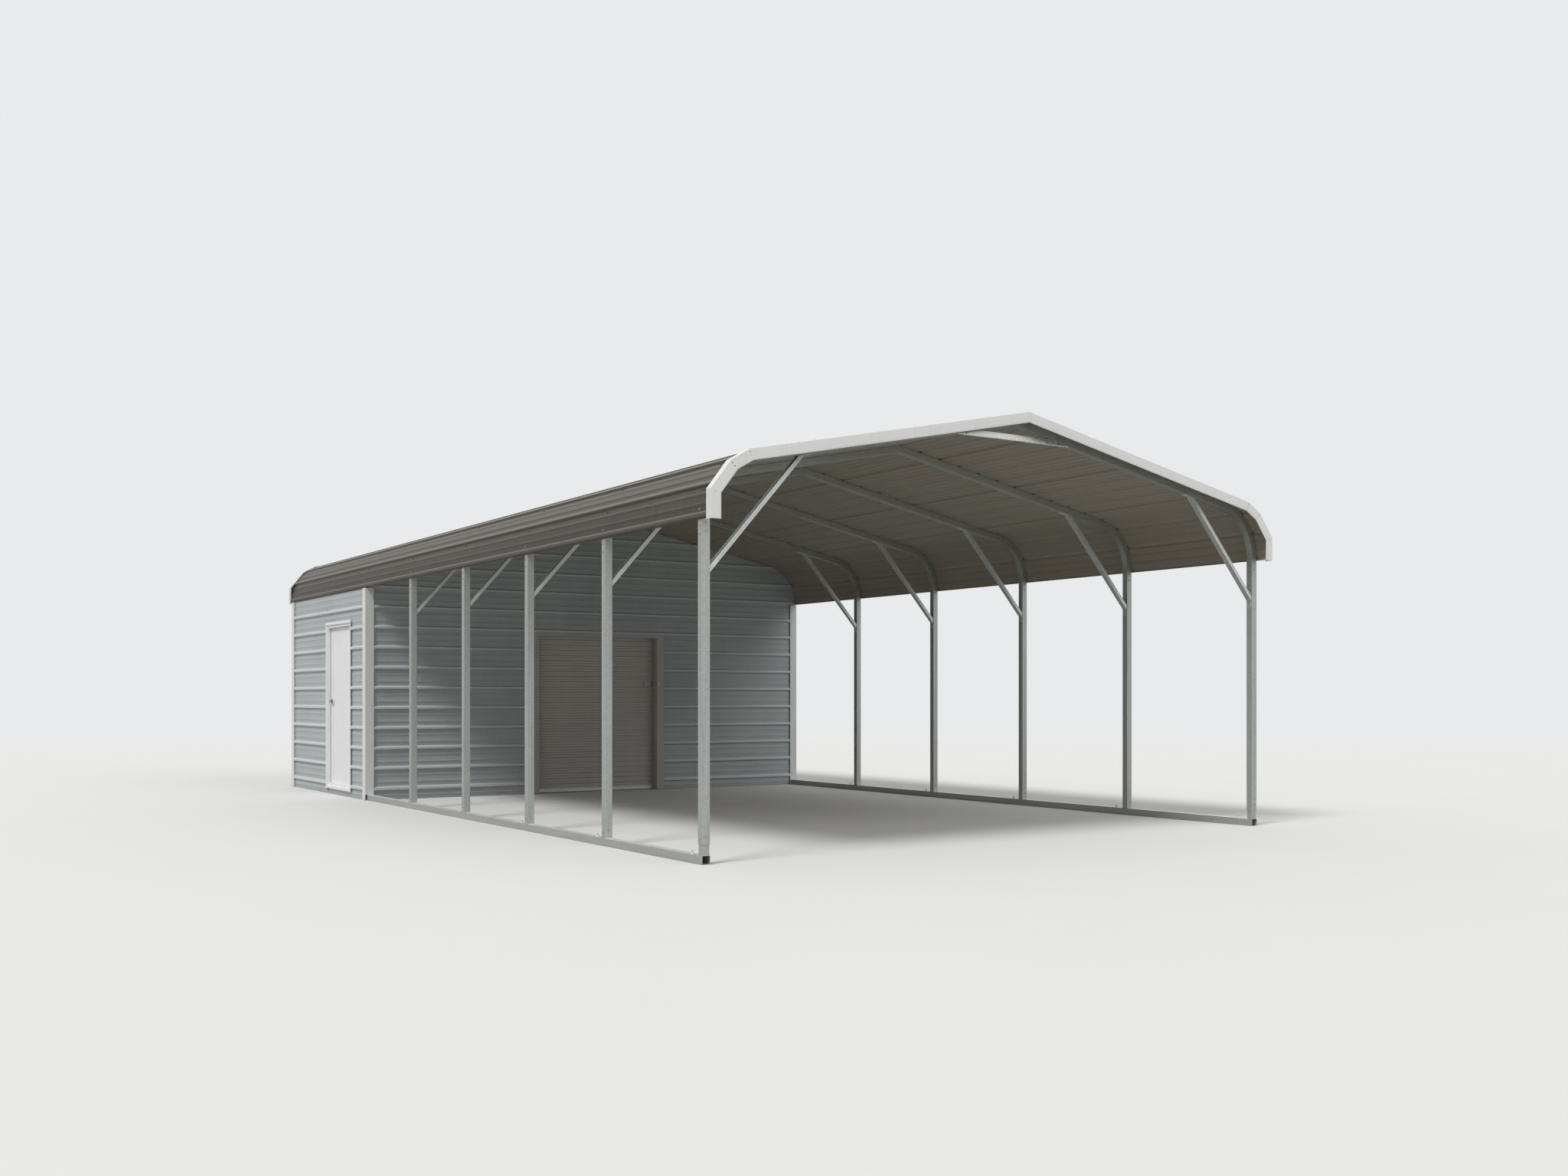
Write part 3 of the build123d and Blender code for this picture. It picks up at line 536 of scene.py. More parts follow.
def round_edges(shape, width, segments=2, wide=0.004, least=0.0, sharper=28, inner=False, tube=False):
    """Rounds the edges between two broad faces that meet at an angle, the inner corners too if asked for.
    A tube's open ends are taken off before and closed again after."""
    edges = []
    for edge in shape.edges:
        if len(edge.link_faces) != 2 or edge.calc_length() < least:
            continue
        if edge.calc_face_angle() < math.radians(sharper) or not (edge.is_convex or inner):
            continue
        if min(breadth(face) for face in edge.link_faces) > wide:
            edges.append(edge)
    ends = take_ends(shape, edges) if tube else []
    bmesh.ops.bevel(
        shape, geom=edges, offset=width, offset_type="OFFSET", affect="EDGES", segments=segments,
        profile=0.5, material=-1, clamp_overlap=False,
    )
    for spot, normal in ends:
        rim = [
            edge for edge in shape.edges
            if edge.is_boundary and all(abs((vert.co - spot).dot(normal)) < END_DEPTH for vert in edge.verts)
        ]
        if rim:
            bmesh.ops.triangle_fill(shape, use_beauty=True, edges=rim, normal=normal)
    if tube:
        bmesh.ops.recalc_face_normals(shape, faces=shape.faces)


def take_ends(shape, edges):
    """Takes off the flat ends that are made of several faces, because a corner is not rounded well where they
    join. Gives a place and the way out of each."""
    sides = {face for edge in edges for face in edge.link_faces}
    crowded = {vert for edge in edges for vert in edge.verts if len(vert.link_edges) > 3}
    ends = {face for vert in crowded for face in vert.link_faces} - sides
    fresh = list(ends)
    while fresh:
        face = fresh.pop()
        for edge in face.edges:
            for other in edge.link_faces:
                level = face.normal.dot(other.normal) > math.cos(FLAT)
                if level and other not in ends and other not in sides:
                    ends.add(other)
                    fresh.append(other)
    planes = [(face.calc_center_median(), face.normal.copy()) for face in shape.faces if face in ends]
    bmesh.ops.delete(shape, geom=[face for face in shape.faces if face in ends], context="FACES")
    return planes


def piece(name, shape, body, slot, *materials, sharp=32):
    """An object from a finished shape, riding on its body. It is shaded smooth but for its sharp corners."""
    for face in shape.faces:
        face.smooth = True
    for edge in shape.edges:
        if len(edge.link_faces) == 2:
            edge.smooth = edge.calc_face_angle() < math.radians(sharp)
    mesh = bpy.data.meshes.new(name)
    shape.to_mesh(mesh)
    shape.free()
    made = bpy.data.objects.new(name, mesh)
    bpy.context.scene.collection.objects.link(made)
    for material in materials:
        mesh.materials.append(material)
    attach(made, body)
    even = made.modifiers.new("even", "WEIGHTED_NORMAL")
    even.keep_sharp = True
    return made


def rounded(node, body, slot, material, width, wide=0.004, segments=2, tube=False):
    """Stands for a CAD node with the same shape and rounded corners."""
    shape = copy_of(node)
    round_edges(shape, width, segments, wide, tube=tube)
    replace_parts(piece(node + "_rounded", shape, body, slot, material), node)


def roof_line():
    """The length of the flat slope, the angle and centre of the eave bend, and the height of the ridge."""
    sizes = bpy.context.scene.carport_sizes
    bend = math.pi / 2 - sizes.pitch
    tangent = sizes.eave_radius * math.tan(bend / 2)
    slope = sizes.half_width / math.cos(sizes.pitch) - tangent
    centre = Vector((sizes.half_width - sizes.eave_radius, 0, sizes.bend_foot))
    return slope, bend, centre, sizes.bend_foot + tangent + sizes.half_width * math.tan(sizes.pitch)


def roof_run(x, z):
    """How far from the ridge a place on the roof lies, measured along the sheet, and negative left of it."""
    sizes = bpy.context.scene.carport_sizes
    slope, bend, centre, ridge = roof_line()
    if z < centre.z:
        run = slope + sizes.eave_radius * bend + centre.z - z
    else:
        angle = math.atan2(abs(x) - centre.x, z - centre.z)
        run = slope + sizes.eave_radius * (angle - sizes.pitch)
        if angle < sizes.pitch or abs(x) < centre.x:
            run = abs(x) * math.cos(sizes.pitch) + (ridge - z) * math.sin(sizes.pitch)
    return math.copysign(run, x)


def roof_point(run, height):
    """A place on the roof, so far from the ridge along the sheet and so far out from the tubes, with the ways
    out of the sheet and down along it there."""
    sizes = bpy.context.scene.carport_sizes
    slope, bend, centre, _ = roof_line()
    bend_end = slope + sizes.eave_radius * bend
    down = abs(run)
    angle = sizes.pitch + min(max(down - slope, 0) / sizes.eave_radius, bend)
    out = Vector((math.sin(angle), 0, math.cos(angle)))
    along = Vector((math.cos(angle), 0, -math.sin(angle)))
    straight = min(down - slope, 0) + max(down - bend_end, 0)
    place = centre + out * (sizes.eave_radius + height) + along * straight
    if run < 0:
        for vector in (place, out, along):
            vector.x = -vector.x
    return place, out, along


def outward(place):
    """The way out of the roof at a place on it."""
    sizes = bpy.context.scene.carport_sizes
    share = (abs(place.x) - sizes.half_width + sizes.eave_radius) / sizes.eave_radius
    share = max(math.sin(sizes.pitch), min(1.0, share))
    return Vector((math.copysign(share, place.x), 0, math.sqrt(1 - share * share)))


def leans_in(face, place):
    """Whether a face looks in under the roof rather than out."""
    return face.normal.dot(outward(place)) < -0.5


def press(shape, run_of, place_of, out):
    """Presses the pencil ribs into a sheet's pans, at even shares of the way from rib to rib."""
    sizes = bpy.context.scene.carport_sizes
    runs = [run_of(vert.co) for vert in shape.verts]
    half = sizes.pencil_foot
    shares = sizes.pencils + 1
    step = sizes.rib_pitch / shares
    first = math.ceil((min(runs) + half) / step)
    last = math.floor((max(runs) - half) / step)
    for number in range(first, last + 1):
        if number % shares == 0:
            continue
        centre = number * step
        for edge in (-half, -sizes.pencil_crest, sizes.pencil_crest, half):
            point, along = place_of(centre + edge)
            whole = shape.verts[:] + shape.edges[:] + shape.faces[:]
            bmesh.ops.bisect_plane(shape, geom=whole, dist=SNAP, plane_co=point, plane_no=along)
        for vert in shape.verts:
            away = abs(run_of(vert.co) - centre)
            if away < half:
                rise = min(1, (half - away) / (half - sizes.pencil_crest))
                vert.co += out(vert.co) * sizes.pencil_height * rise


SHORTEST_FOLD = 0.3
EDGE_ON = 0.02  # the least that a painted face looks outward


def sheet_piece(node, slot, outside, inside, out, run_of, place_of):
    """Stands for a ribbed sheet. Paint goes outside, primer inside, and the run along it is kept as a map."""
    shape = copy_of(node)
    fold = bpy.context.scene.carport_sizes.sheet_fold
    round_edges(shape, fold, wide=5 * MM, least=SHORTEST_FOLD, sharper=25, inner=True)
    press(shape, run_of, place_of, out)
    make_whole(shape)
    run = shape.loops.layers.uv.new("run")
    for face in shape.faces:
        painted = face.normal.dot(out(face.calc_center_median())) > EDGE_ON
        face.material_index = 0 if painted else 1
        faces_end = abs(face.normal.y) > math.cos(math.radians(45))
        for loop in face.loops:
            place = loop.vert.co
            loop[run].uv = (run_of(place), place.x if faces_end else place.y)
    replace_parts(piece(node + "_sheet", shape, "carport", slot, outside, inside, sharp=40), node)


def disc(shape, sides, lower, upper, foot, top):
    """Adds a short cone between two heights, open below."""
    spot = Matrix.Translation((0, 0, (foot + top) / 2))
    made = bmesh.ops.create_cone(
        shape, cap_ends=True, segments=sides, radius1=lower, radius2=upper, depth=top - foot, matrix=spot
    )
    hidden = {face for vert in made["verts"] for face in vert.link_faces if face.normal.z < -SQUARE_ON}
    bmesh.ops.delete(shape, geom=list(hidden), context="FACES_ONLY")


def plate(shape, size, corner, edge, spot):
    """Adds a plate with rounded corners and softened edges: its width, height and thickness, then the radius
    of its corners and the width of its softened edges. The matrix turns its thickness from +Z."""
    made = bmesh.ops.create_cube(shape, size=1, matrix=spot @ Matrix.Diagonal((*size, 1)))
    up = (spot.to_3x3() @ Vector((0, 0, 1))).normalized()
    edges = {e for v in made["verts"] for e in v.link_edges}
    upright = [e for e in edges if abs((e.verts[0].co - e.verts[1].co).normalized().dot(up)) > SQUARE_ON]
    rounded_off = bmesh.ops.bevel(
        shape, geom=upright, offset=corner, offset_type="OFFSET", affect="EDGES", segments=3,
        profile=0.5, material=-1,
    )
    faces = {f for v in rounded_off["verts"] for f in v.link_faces}
    rims = {e for f in faces for e in f.edges if abs(f.normal.dot(up)) > SQUARE_ON}
    bmesh.ops.bevel(
        shape, geom=list(rims), offset=edge, offset_type="OFFSET", affect="EDGES", segments=1,
        profile=0.5, material=-1,
    )


def template(build):
    """A small part's mesh, to be set at many places."""
    shape = bmesh.new()
    build(shape)
    mesh = bpy.data.meshes.new("template")
    shape.to_mesh(mesh)
    shape.free()
    return mesh


def scatter(name, mesh, places, slot, material, body="carport"):
    """One object made of the same small part at many places. Each place has the way out of its surface."""
    shape = bmesh.new()
    for place, out in places:
        before = len(shape.verts)
        shape.from_mesh(mesh)
        shape.verts.ensure_lookup_table()
        bmesh.ops.transform(shape, matrix=facing(place, out), verts=shape.verts[before:])
    bpy.data.meshes.remove(mesh)
    piece(name, shape, body, slot, material)


SUNK = 0.5 * MM  # how deep a small part's foot goes into what it sits on


def rivet_head(shape):
    """A low round rivet head: its rim, and its crown."""
    rim, crown, top = 6.2 * MM, 5.5 * MM, 2.2 * MM
    shoulder, height = 1.2 * MM, 2.6 * MM
    disc(shape, 10, rim, crown, -SUNK, shoulder)
    disc(shape, 10, crown, top, shoulder, height)


def pin_head(shape):
    """The top of a ground pin: the washer welded to it, the weld, the shank and the hammered head."""
    sizes = bpy.context.scene.carport_sizes
    shank = sizes.pin_radius
    washer, weld, head = 4 * MM, 6.5 * MM, sizes.pin_rise - 2 * MM
    disc(shape, 16, shank * 2.6, shank * 2.5, -SUNK, washer)
    disc(shape, 12, shank * 1.25, shank, washer, weld)
    disc(shape, 12, shank, shank, weld, head)
    disc(shape, 12, shank * 1.12, shank * 0.8, head, sizes.pin_rise)


def flat_head(shape):
    """A countersunk screw head, almost flush, with a ring round its middle."""
    ring, middle = 0.5 * MM, 0.7 * MM
    disc(shape, 12, 4.6 * MM, 4.3 * MM, -0.4 * MM, ring)
    disc(shape, 12, 2.6 * MM, 2.0 * MM, ring, middle)


def screw_head(shape):
    """A washer with a hexagon head on it."""
    sizes = bpy.context.scene.carport_sizes
    thick = 0.2 * sizes.washer
    disc(shape, 12, sizes.washer, sizes.washer * 0.9, -thick, thick)
    disc(shape, 6, sizes.hex_head, sizes.hex_head * 0.92, thick, thick + sizes.hex_height)


def surface(*nodes):
    """What a ray can meet: the given CAD nodes."""
    shape = bmesh.new()
    for node in nodes:
        shape.from_mesh(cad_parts[node].data)
    tree = BVHTree.FromBMesh(shape)
    shape.free()
    return tree


HEAD_ON = 0.99
FAR_OUT = 4.0  # where rays start outside of the carport, and between its legs
WELL_IN = 2.0
IN_FRONT = 0.5
ABOVE_ROOF = 0.3


def seats(tree, starts, aim):
    """Places on a surface with the ways out of it, where rays from the starts meet it head on."""
    found = []
    for start in starts:
        place, normal, _, _ = tree.ray_cast(start, aim)
        if place and normal.dot(aim) < -HEAD_ON:
            found.append((place, normal))
    return found


def frame_front(number):
    """Front face of a frame, counted from one at the front."""
    sizes = bpy.context.scene.carport_sizes
    return low("frame_1_bow").y + (number - 1) * sizes.bay


def parts_of(node):
    """Low and high corners of each solid in a CAD node, from the ground up."""
    shape = bmesh.new()
    shape.from_mesh(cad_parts[node].data)
    bmesh.ops.remove_doubles(shape, verts=shape.verts, dist=MERGE)
    boxes = []
    left = set(shape.verts)
    while left:
        reached = {left.pop()}
        edge_of = set(reached)
        while edge_of:
            edge_of = {e.other_vert(v) for v in edge_of for e in v.link_edges} - reached
            reached |= edge_of
        left -= reached
        corners = [[pick(v.co[axis] for v in reached) for axis in range(3)] for pick in (min, max)]
        boxes.append((Vector(corners[0]), Vector(corners[1])))
    shape.free()
    return sorted(boxes, key=lambda box: (box[0].z, box[0].y))


def facing(place, out):
    """A matrix that turns +Z to the way out at a place, with +Y upright on a wall."""
    return Matrix.Translation(place) @ Vector(out).to_track_quat("Z", "Y").to_matrix().to_4x4()


class Job(bpy.types.Operator):
    """What the operators share: the sizes, and undo in the sidebar."""

    bl_options = {"REGISTER", "UNDO"}

    @property
    def sizes(self):
        return bpy.context.scene.carport_sizes


# Frame

TUBES = {
    "left_legs": "up", "right_legs": "up", "left_leg_stubs": "up", "right_leg_stubs": "up",
    "left_base_rail": "along", "right_base_rail": "along", "rear_base_rail": "across",
    "partition_base_rails": "across", "rear_wall_posts": "up", "partition_door_framing": "up",
    "side_door_framing": "up",
}


class CARPORT_OT_frame(Job):
    """Zinc-coated tubes with rolled corners"""

    bl_idname = "carport.frame"
    bl_label = "Frame tubes"

    def execute(self, context):
        corner = self.sizes.tube_corner
        for node, direction in TUBES.items():
            rounded(node, "carport", "frame_tube", zinc(direction), corner, tube=True)
        for number in range(1, self.sizes.frames + 1):
            rounded(f"frame_{number}_bow", "carport", "frame_tube", bow_zinc_painted_shade(), corner, tube=True)
        return {"FINISHED"}


class CARPORT_OT_frame_fixings(Job):
    """Screws of the legs and bows, and the pins that hold the base rails down"""

    bl_idname = "carport.frame_fixings"
    bl_label = "Frame screws and ground pins"
    from_end = 45 * MM
    between_screws = 60 * MM
    front_leg_rise = 70 * MM
    front_screw_rise = 20 * MM

    def execute(self, context):
        sizes = self.sizes
        legs = surface("left_legs", "right_legs")
        middle = sizes.half_width - sizes.tube / 2
        top = sizes.leg_top - self.from_end
        places = []
        for number in range(1, sizes.partition_frame):
            front = frame_front(number)
            foot = sizes.tube + self.from_end + (self.front_leg_rise if number == 1 else 0)
            for z in (foot, top, top - self.between_screws):
                ahead = Vector((0, front - IN_FRONT, z + self.front_screw_rise))
                for side in (-1, 1):
                    out = Vector((side, 0, 0))
                    beside = Vector((0, front + sizes.tube / 2, z))
                    places += seats(legs, [beside + out * FAR_OUT], -out)
                    places += seats(legs, [beside + out * WELL_IN], out)
                    places += seats(legs, [ahead + out * middle], Vector((0, 1, 0)))
        scatter("leg_screws", template(screw_head), places, "hardware", screw_paint("screw"))
        pins = []
        for number in range(1, sizes.frames + 1):
            aside = sizes.pin_aside if number < sizes.frames else -sizes.pin_aside
            for side in (-1, 1):
                y = frame_front(number) + sizes.tube / 2 + aside
                pins.append((Vector((side * (middle + sizes.pin_outward), y, sizes.tube)), Vector((0, 0, 1))))
        scatter("ground_pins", template(pin_head), pins, "hardware", brace_zinc())
        return {"FINISHED"}


class CARPORT_OT_braces(Job):
    """Bent steel channels between the legs and the bows, with the ears that are screwed to the tubes"""

    bl_idname = "carport.braces"
    bl_label = "Braces"
    ear_size = (46 * MM, 66 * MM, 2 * MM)
    ear_corner = 6 * MM
    ear_lap = 6 * MM
    off_leg = 1.2 * MM
    off_bow = 1.5 * MM
    ear_screws = (-16 * MM, 12 * MM)
    peak_screws_in = (35 * MM, 65 * MM)

    def execute(self, context):
        for node in ("left_knee_braces", "right_knee_braces"):
            rounded(node, "carport", "brace_steel", brace_zinc(), 0.9 * MM, wide=1.5 * MM)
        # Painted highlight: the peak brace gets paler, shinier zinc than the other braces
        rounded("peak_brace", "carport", "brace_steel", glint_painted_zinc(), 0.9 * MM, wide=1.5 * MM)
        sizes = self.sizes
        shape = bmesh.new()
        heads = []
        inner = sizes.half_width - sizes.tube - self.off_leg
        beyond = self.ear_size[1] / 2 - self.ear_lap
        for foot, top in parts_of("left_knee_braces"):
            y = (foot.y + top.y) / 2
            for side in (-1, 1):
                self.ear(shape, heads, Vector((side * inner, y, foot.z - beyond)), Vector((-side, 0, 0)))
                slope = Vector((-side * math.cos(sizes.pitch), 0, math.sin(sizes.pitch)))
                under = Vector((-side * math.sin(sizes.pitch), 0, -math.cos(sizes.pitch)))
                end = roof_point(side * abs(top.x) / math.cos(sizes.pitch), -sizes.tube)[0]
                place = end + slope * beyond + under * self.off_bow
                place.y = y
                self.ear(shape, heads, place, under, slope)
        heads += self.peak_screws()
        piece("brace_ears", shape, "carport", "brace_steel", brace_zinc())
        scatter("brace_screws", template(screw_head), heads, "hardware", screw_paint("screw"))
        return {"FINISHED"}

    def ear(self, shape, heads, place, out, along=Vector((0, 0, 1))):
        """One flat ear with its two screws."""
        turned = Matrix((along.cross(out), along, out)).transposed().to_4x4()
        plate(shape, self.ear_size, self.ear_corner, 0.4 * MM, Matrix.Translation(place) @ turned)
        for step in self.ear_screws:
            heads.append((place + along * step + out * self.ear_size[2] / 2, out))

    def peak_screws(self):
        """Two screws through each end of the peak brace, as low as a ray from the front meets it head on."""
        lo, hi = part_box("peak_brace")
        brace = surface("peak_brace")
        heights = [lo.z + share * (hi.z - lo.z) for share in (0.2, 0.35, 0.5, 0.65, 0.8)]
        found = []
        for x in [side * (hi.x - step) for side in (-1, 1) for step in self.peak_screws_in]:
            found += seats(brace, [Vector((x, lo.y - IN_FRONT, z)) for z in heights], Vector((0, 1, 0)))[:1]
        return found


# Sheets

ROOF_SHEETS = (
    "ridge_panel", "left_upper_roof_panel", "right_upper_roof_panel", "left_lower_roof_panel",
    "right_lower_roof_panel", "left_eave_panel", "right_eave_panel",
)
WALL_SHEETS = {
    "left_wall_front": (-1, 0), "left_wall_rear": (-1, 0), "left_wall_over_door": (-1, 0),
    "right_wall": (1, 0), "rear_wall": (0, 1), "partition_left": (0, -1), "partition_right": (0, -1),
    "partition_over_door": (0, -1),
}


class CARPORT_OT_sheets(Job):
    """Ribbed roof and wall sheets, painted outside and primed inside"""

    bl_idname = "carport.sheets"
    bl_label = "Ribbed sheets"

    def execute(self, context):
        def on_roof(run):
            place, _, along = roof_point(run, 0)
            return place, along

        for node in ROOF_SHEETS:
            sheet_piece(
                node, "roof_sheet", roof_paint(), roof_backer(), outward,
                lambda co: roof_run(co.x, co.z), on_roof,
            )
        first = self.sizes.wall_first_rib
        for node, (x, y) in WALL_SHEETS.items():
            sheet_piece(
                node, "wall_sheet", siding_paint(), siding_backer(), lambda co: Vector((x, y, 0)),
                lambda co: co.z - first, lambda run: (Vector((0, 0, run + first)), Vector((0, 0, 1))),
            )
        return {"FINISHED"}


class CARPORT_OT_sheet_screws(Job):
    """Screws that hold the roof and wall sheets to the tubes"""

    bl_idname = "carport.sheet_screws"
    bl_label = "Sheet screws"
    rib_rows = 15
    below_hem = 40 * MM
    side_foot_step = 0.61
    end_step = 0.44
    below_ridge = 0.1
    clear_of_jamb = 30 * MM

    def execute(self, context):
        sizes = self.sizes
        middles = [frame_front(number) + sizes.tube / 2 for number in range(1, sizes.frames + 1)]
        roof = surface(*ROOF_SHEETS)
        last = round(roof_run(*hem_place()) / sizes.rib_pitch)
        ribs = range(-last + 1, last)
        runs = [math.copysign(abs(rib) * sizes.rib_pitch + sizes.beside_rib, rib) for rib in ribs]
        hem = last * sizes.rib_pitch - sizes.beside_rib
        for name, at, slot, paint in (
            ("roof_screws", runs, "roof_sheet", "roof_fade"),
            ("hem_screws", (-hem, hem), "hardware", "screw"),
        ):
            places = []
            for run in at:
                place, out, _ = roof_point(run, ABOVE_ROOF)
                places += seats(roof, [place + Vector((0, y, 0)) for y in middles], -out)
            scatter(name, template(screw_head), places, slot, screw_paint(paint))
        places = self.side_places(middles) + self.end_places()
        scatter("wall_screws", template(screw_head), places, "wall_sheet", screw_paint("siding_fade"))
        return {"FINISHED"}

    def rows(self):
        """Heights of the pans beside the ribs."""
        sizes = self.sizes
        first = sizes.wall_first_rib
        return [first + row * sizes.rib_pitch + sizes.beside_rib for row in range(self.rib_rows)]

    def side_places(self, middles):
        """On the side walls: beside the ribs on every post, and along the base rails."""
        sizes = self.sizes
        hem = high("right_wall").z - self.below_hem
        behind = middles[sizes.partition_frame]
        post = low("side_door_framing").y + sizes.tube / 2
        room = middles[sizes.partition_frame - 1] + sizes.tube
        feet = [middles[-1] - step * self.side_foot_step for step in range(1, 6)]
        spots = [(y, sizes.tube / 2) for y in feet if y > room]
        places = []
        for nodes, side, columns in (
            (("left_wall_front", "left_wall_rear", "left_wall_over_door"), -1, (behind, post)),
            (("right_wall",), 1, (behind,)),
        ):
            on_side = [(y, z) for y in columns for z in self.rows() if z < hem] + spots
            starts = [Vector((side * FAR_OUT, y, z)) for y, z in on_side]
            places += seats(surface(*nodes), starts, Vector((-side, 0, 0)))
        return places

    def end_places(self):
        """On the rear wall and the partition: beside the ribs on every post, along the bows and the rails."""
        sizes = self.sizes
        ridge = roof_point(0, 0)[0].z - self.below_ridge
        door_post = high("partition_door_framing").x - sizes.tube / 2
        quarter = sizes.half_width / 2
        door_top = high("roll_up_head_trim").z
        door_edge = high("roll_up_jamb_trims").x + self.clear_of_jamb
        places = []
        for nodes, out, columns, covered, edge in (
            (("rear_wall",), 1, (-quarter, 0, quarter), 0, 0),
            (("partition_left", "partition_right", "partition_over_door"), -1, (-door_post, 0, door_post),
             door_top, door_edge),
        ):
            spots = []
            for x in columns:
                top = ridge - abs(x) * math.tan(sizes.pitch)
                spots += [(x, z) for z in self.rows() if covered < z < top]
            for step in range(-6, 7):
                bow = roof_point(step * self.end_step, -sizes.tube / 2)[0]
                spots.append((bow.x, bow.z))
                if abs(bow.x) > edge:
                    spots.append((bow.x, sizes.tube / 2))
            y = high("rear_wall").y + 1 if out > 0 else low("partition_left").y - 1
            places += seats(surface(*nodes), [Vector((x, y, z)) for x, z in spots], Vector((0, -out, 0)))
        return places


def hem_place():
    """Where the roof sheets end."""
    return high("right_eave_panel").x, low("right_eave_panel").z


# Trims

class CARPORT_OT_trims(Job):
    """White bent trims of the roof ends and wall corners, with their laps, rivets and screws"""

    bl_idname = "carport.trims"
    bl_label = "Edge trims"
    thin = 4 * MM
    broad = 30 * MM
    lip_sheet = 1.2 * MM
    lip_edge = 20 * MM
    facets = (90, 52, 30)
    lap_reach = 0.462
    lap_aside = 6 * MM
    lap_off = 1.4 * MM
    lap_size = (30 * MM, 58 * MM, 1.8 * MM)
    lap_rivets = (-14 * MM, 16 * MM)
    roof_screw_in = 32 * MM
    side_screw_in = 70 * MM
    end_screw_in = 50 * MM
    jamb_screw_in = 20 * MM
    slope_reach = 2.3
    first_row = 0.16
    corner_rows = 5

    def execute(self, context):
        for node, out in (("front_trim", -1), ("rear_trim", 1)):
            shape = copy_of(node)
            self.kick_out(shape, out)
            round_edges(shape, self.sizes.trim_bend, 3)
            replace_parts(piece(node + "_rounded", shape, "carport", "trim_white", enamel("trim")), node)
            self.laps(node, out)
            self.lips(node, -out)
        for node, toward in (("front_corner_trims", 1), ("rear_corner_trims", -1)):
            self.lips(node, toward)
            rounded(node, "carport", "trim_white", enamel("trim"), self.sizes.trim_bend, segments=3)
        scatter("trim_screws", template(screw_head), self.screw_places(), "trim_white", screw_paint("trim"))
        return {"FINISHED"}

    def lips(self, node, toward):
        """The free edges of the flanges, folded down towards the pans of the sheets."""
        shape = copy_of(node)
        edges = []
        for face in shape.faces:
            if face.normal.y * toward < SQUARE_ON or breadth(face) > self.thin:
                continue
            for edge in face.edges:
                middle = (edge.verts[0].co + edge.verts[1].co) / 2
                under = any(leans_in(other, middle) for other in edge.link_faces if other != face)
                if edge.calc_length() > self.lip_edge and under:
                    edges.append(edge)
        made = bmesh.ops.duplicate(shape, geom=edges)["geom"]
        spare = [edge for edge in shape.edges if edge not in made]
        bmesh.ops.delete(shape, geom=spare, context="EDGES_FACES")
        bmesh.ops.delete(shape, geom=[vert for vert in shape.verts if not vert.link_edges], context="VERTS")
        grown = bmesh.ops.extrude_edge_only(shape, edges=shape.edges[:])["geom"]
        for item in grown:
            if isinstance(item, bmesh.types.BMVert):
                item.co -= outward(item.co) * self.sizes.lip
        bmesh.ops.remove_doubles(shape, verts=shape.verts, dist=MERGE)
        bmesh.ops.recalc_face_normals(shape, faces=shape.faces)
        bmesh.ops.solidify(shape, geom=shape.faces[:], thickness=self.lip_sheet)
        piece(node + "_lips", shape, "carport", "trim_white", enamel("trim"))

    def kick_out(self, shape, out):
        """Bends the lower edge of a gable trim's face outward as a narrow drip edge."""
        sizes = self.sizes
        faces = [
            face for face in shape.faces if abs(face.normal.y) > SQUARE_ON and breadth(face) > self.broad
        ]
        edge = set()
        for face in shape.faces:
            if breadth(face) < self.thin and leans_in(face, face.calc_center_median()):
                edge |= set(face.verts)
        at_face = max(vert.co.y * out for face in faces for vert in face.verts)
        edge = [vert for vert in edge if at_face - vert.co.y * out < 2 * MM]
        bmesh.ops.inset_region(shape, faces=faces, thickness=sizes.drip, depth=0, use_even_offset=True)
        bmesh.ops.translate(shape, vec=(0, out * sizes.drip / 3, 0), verts=edge)

    def laps(self, node, out):
        """The notched tabs where the trim's flat facets meet round the eave, each held by two rivets."""
        face = high(node).y if out > 0 else low(node).y
        _, _, centre, _ = roof_line()
        way = Vector((0, out, 0))
        thick = self.lap_size[2]
        slopes = (*self.facets, math.degrees(self.sizes.pitch))
        shape = bmesh.new()
        rivets = []
        for side in (-1, 1):
            for upper, lower in zip(slopes, slopes[1:]):
                turn = math.radians((upper + lower) / 2)
                ray = Vector((side * math.sin(turn), 0, math.cos(turn)))
                aside = Vector((side * math.cos(turn), 0, -math.sin(turn)))
                place = Vector((side * centre.x, 0, centre.z)) + ray * self.lap_reach + aside * self.lap_aside
                place.y = face - out * self.lap_off
                turned = Matrix((aside, ray, way * -side)).transposed().to_4x4()
                plate(shape, self.lap_size, 3 * MM, 0.4 * MM, Matrix.Translation(place) @ turned)
                rivets += [(place + ray * step + way * thick / 2, way) for step in self.lap_rivets]
        piece(node + "_laps", shape, "carport", "trim_white", enamel("trim"))
        scatter(node + "_rivets", template(rivet_head), rivets, "hardware", steel())

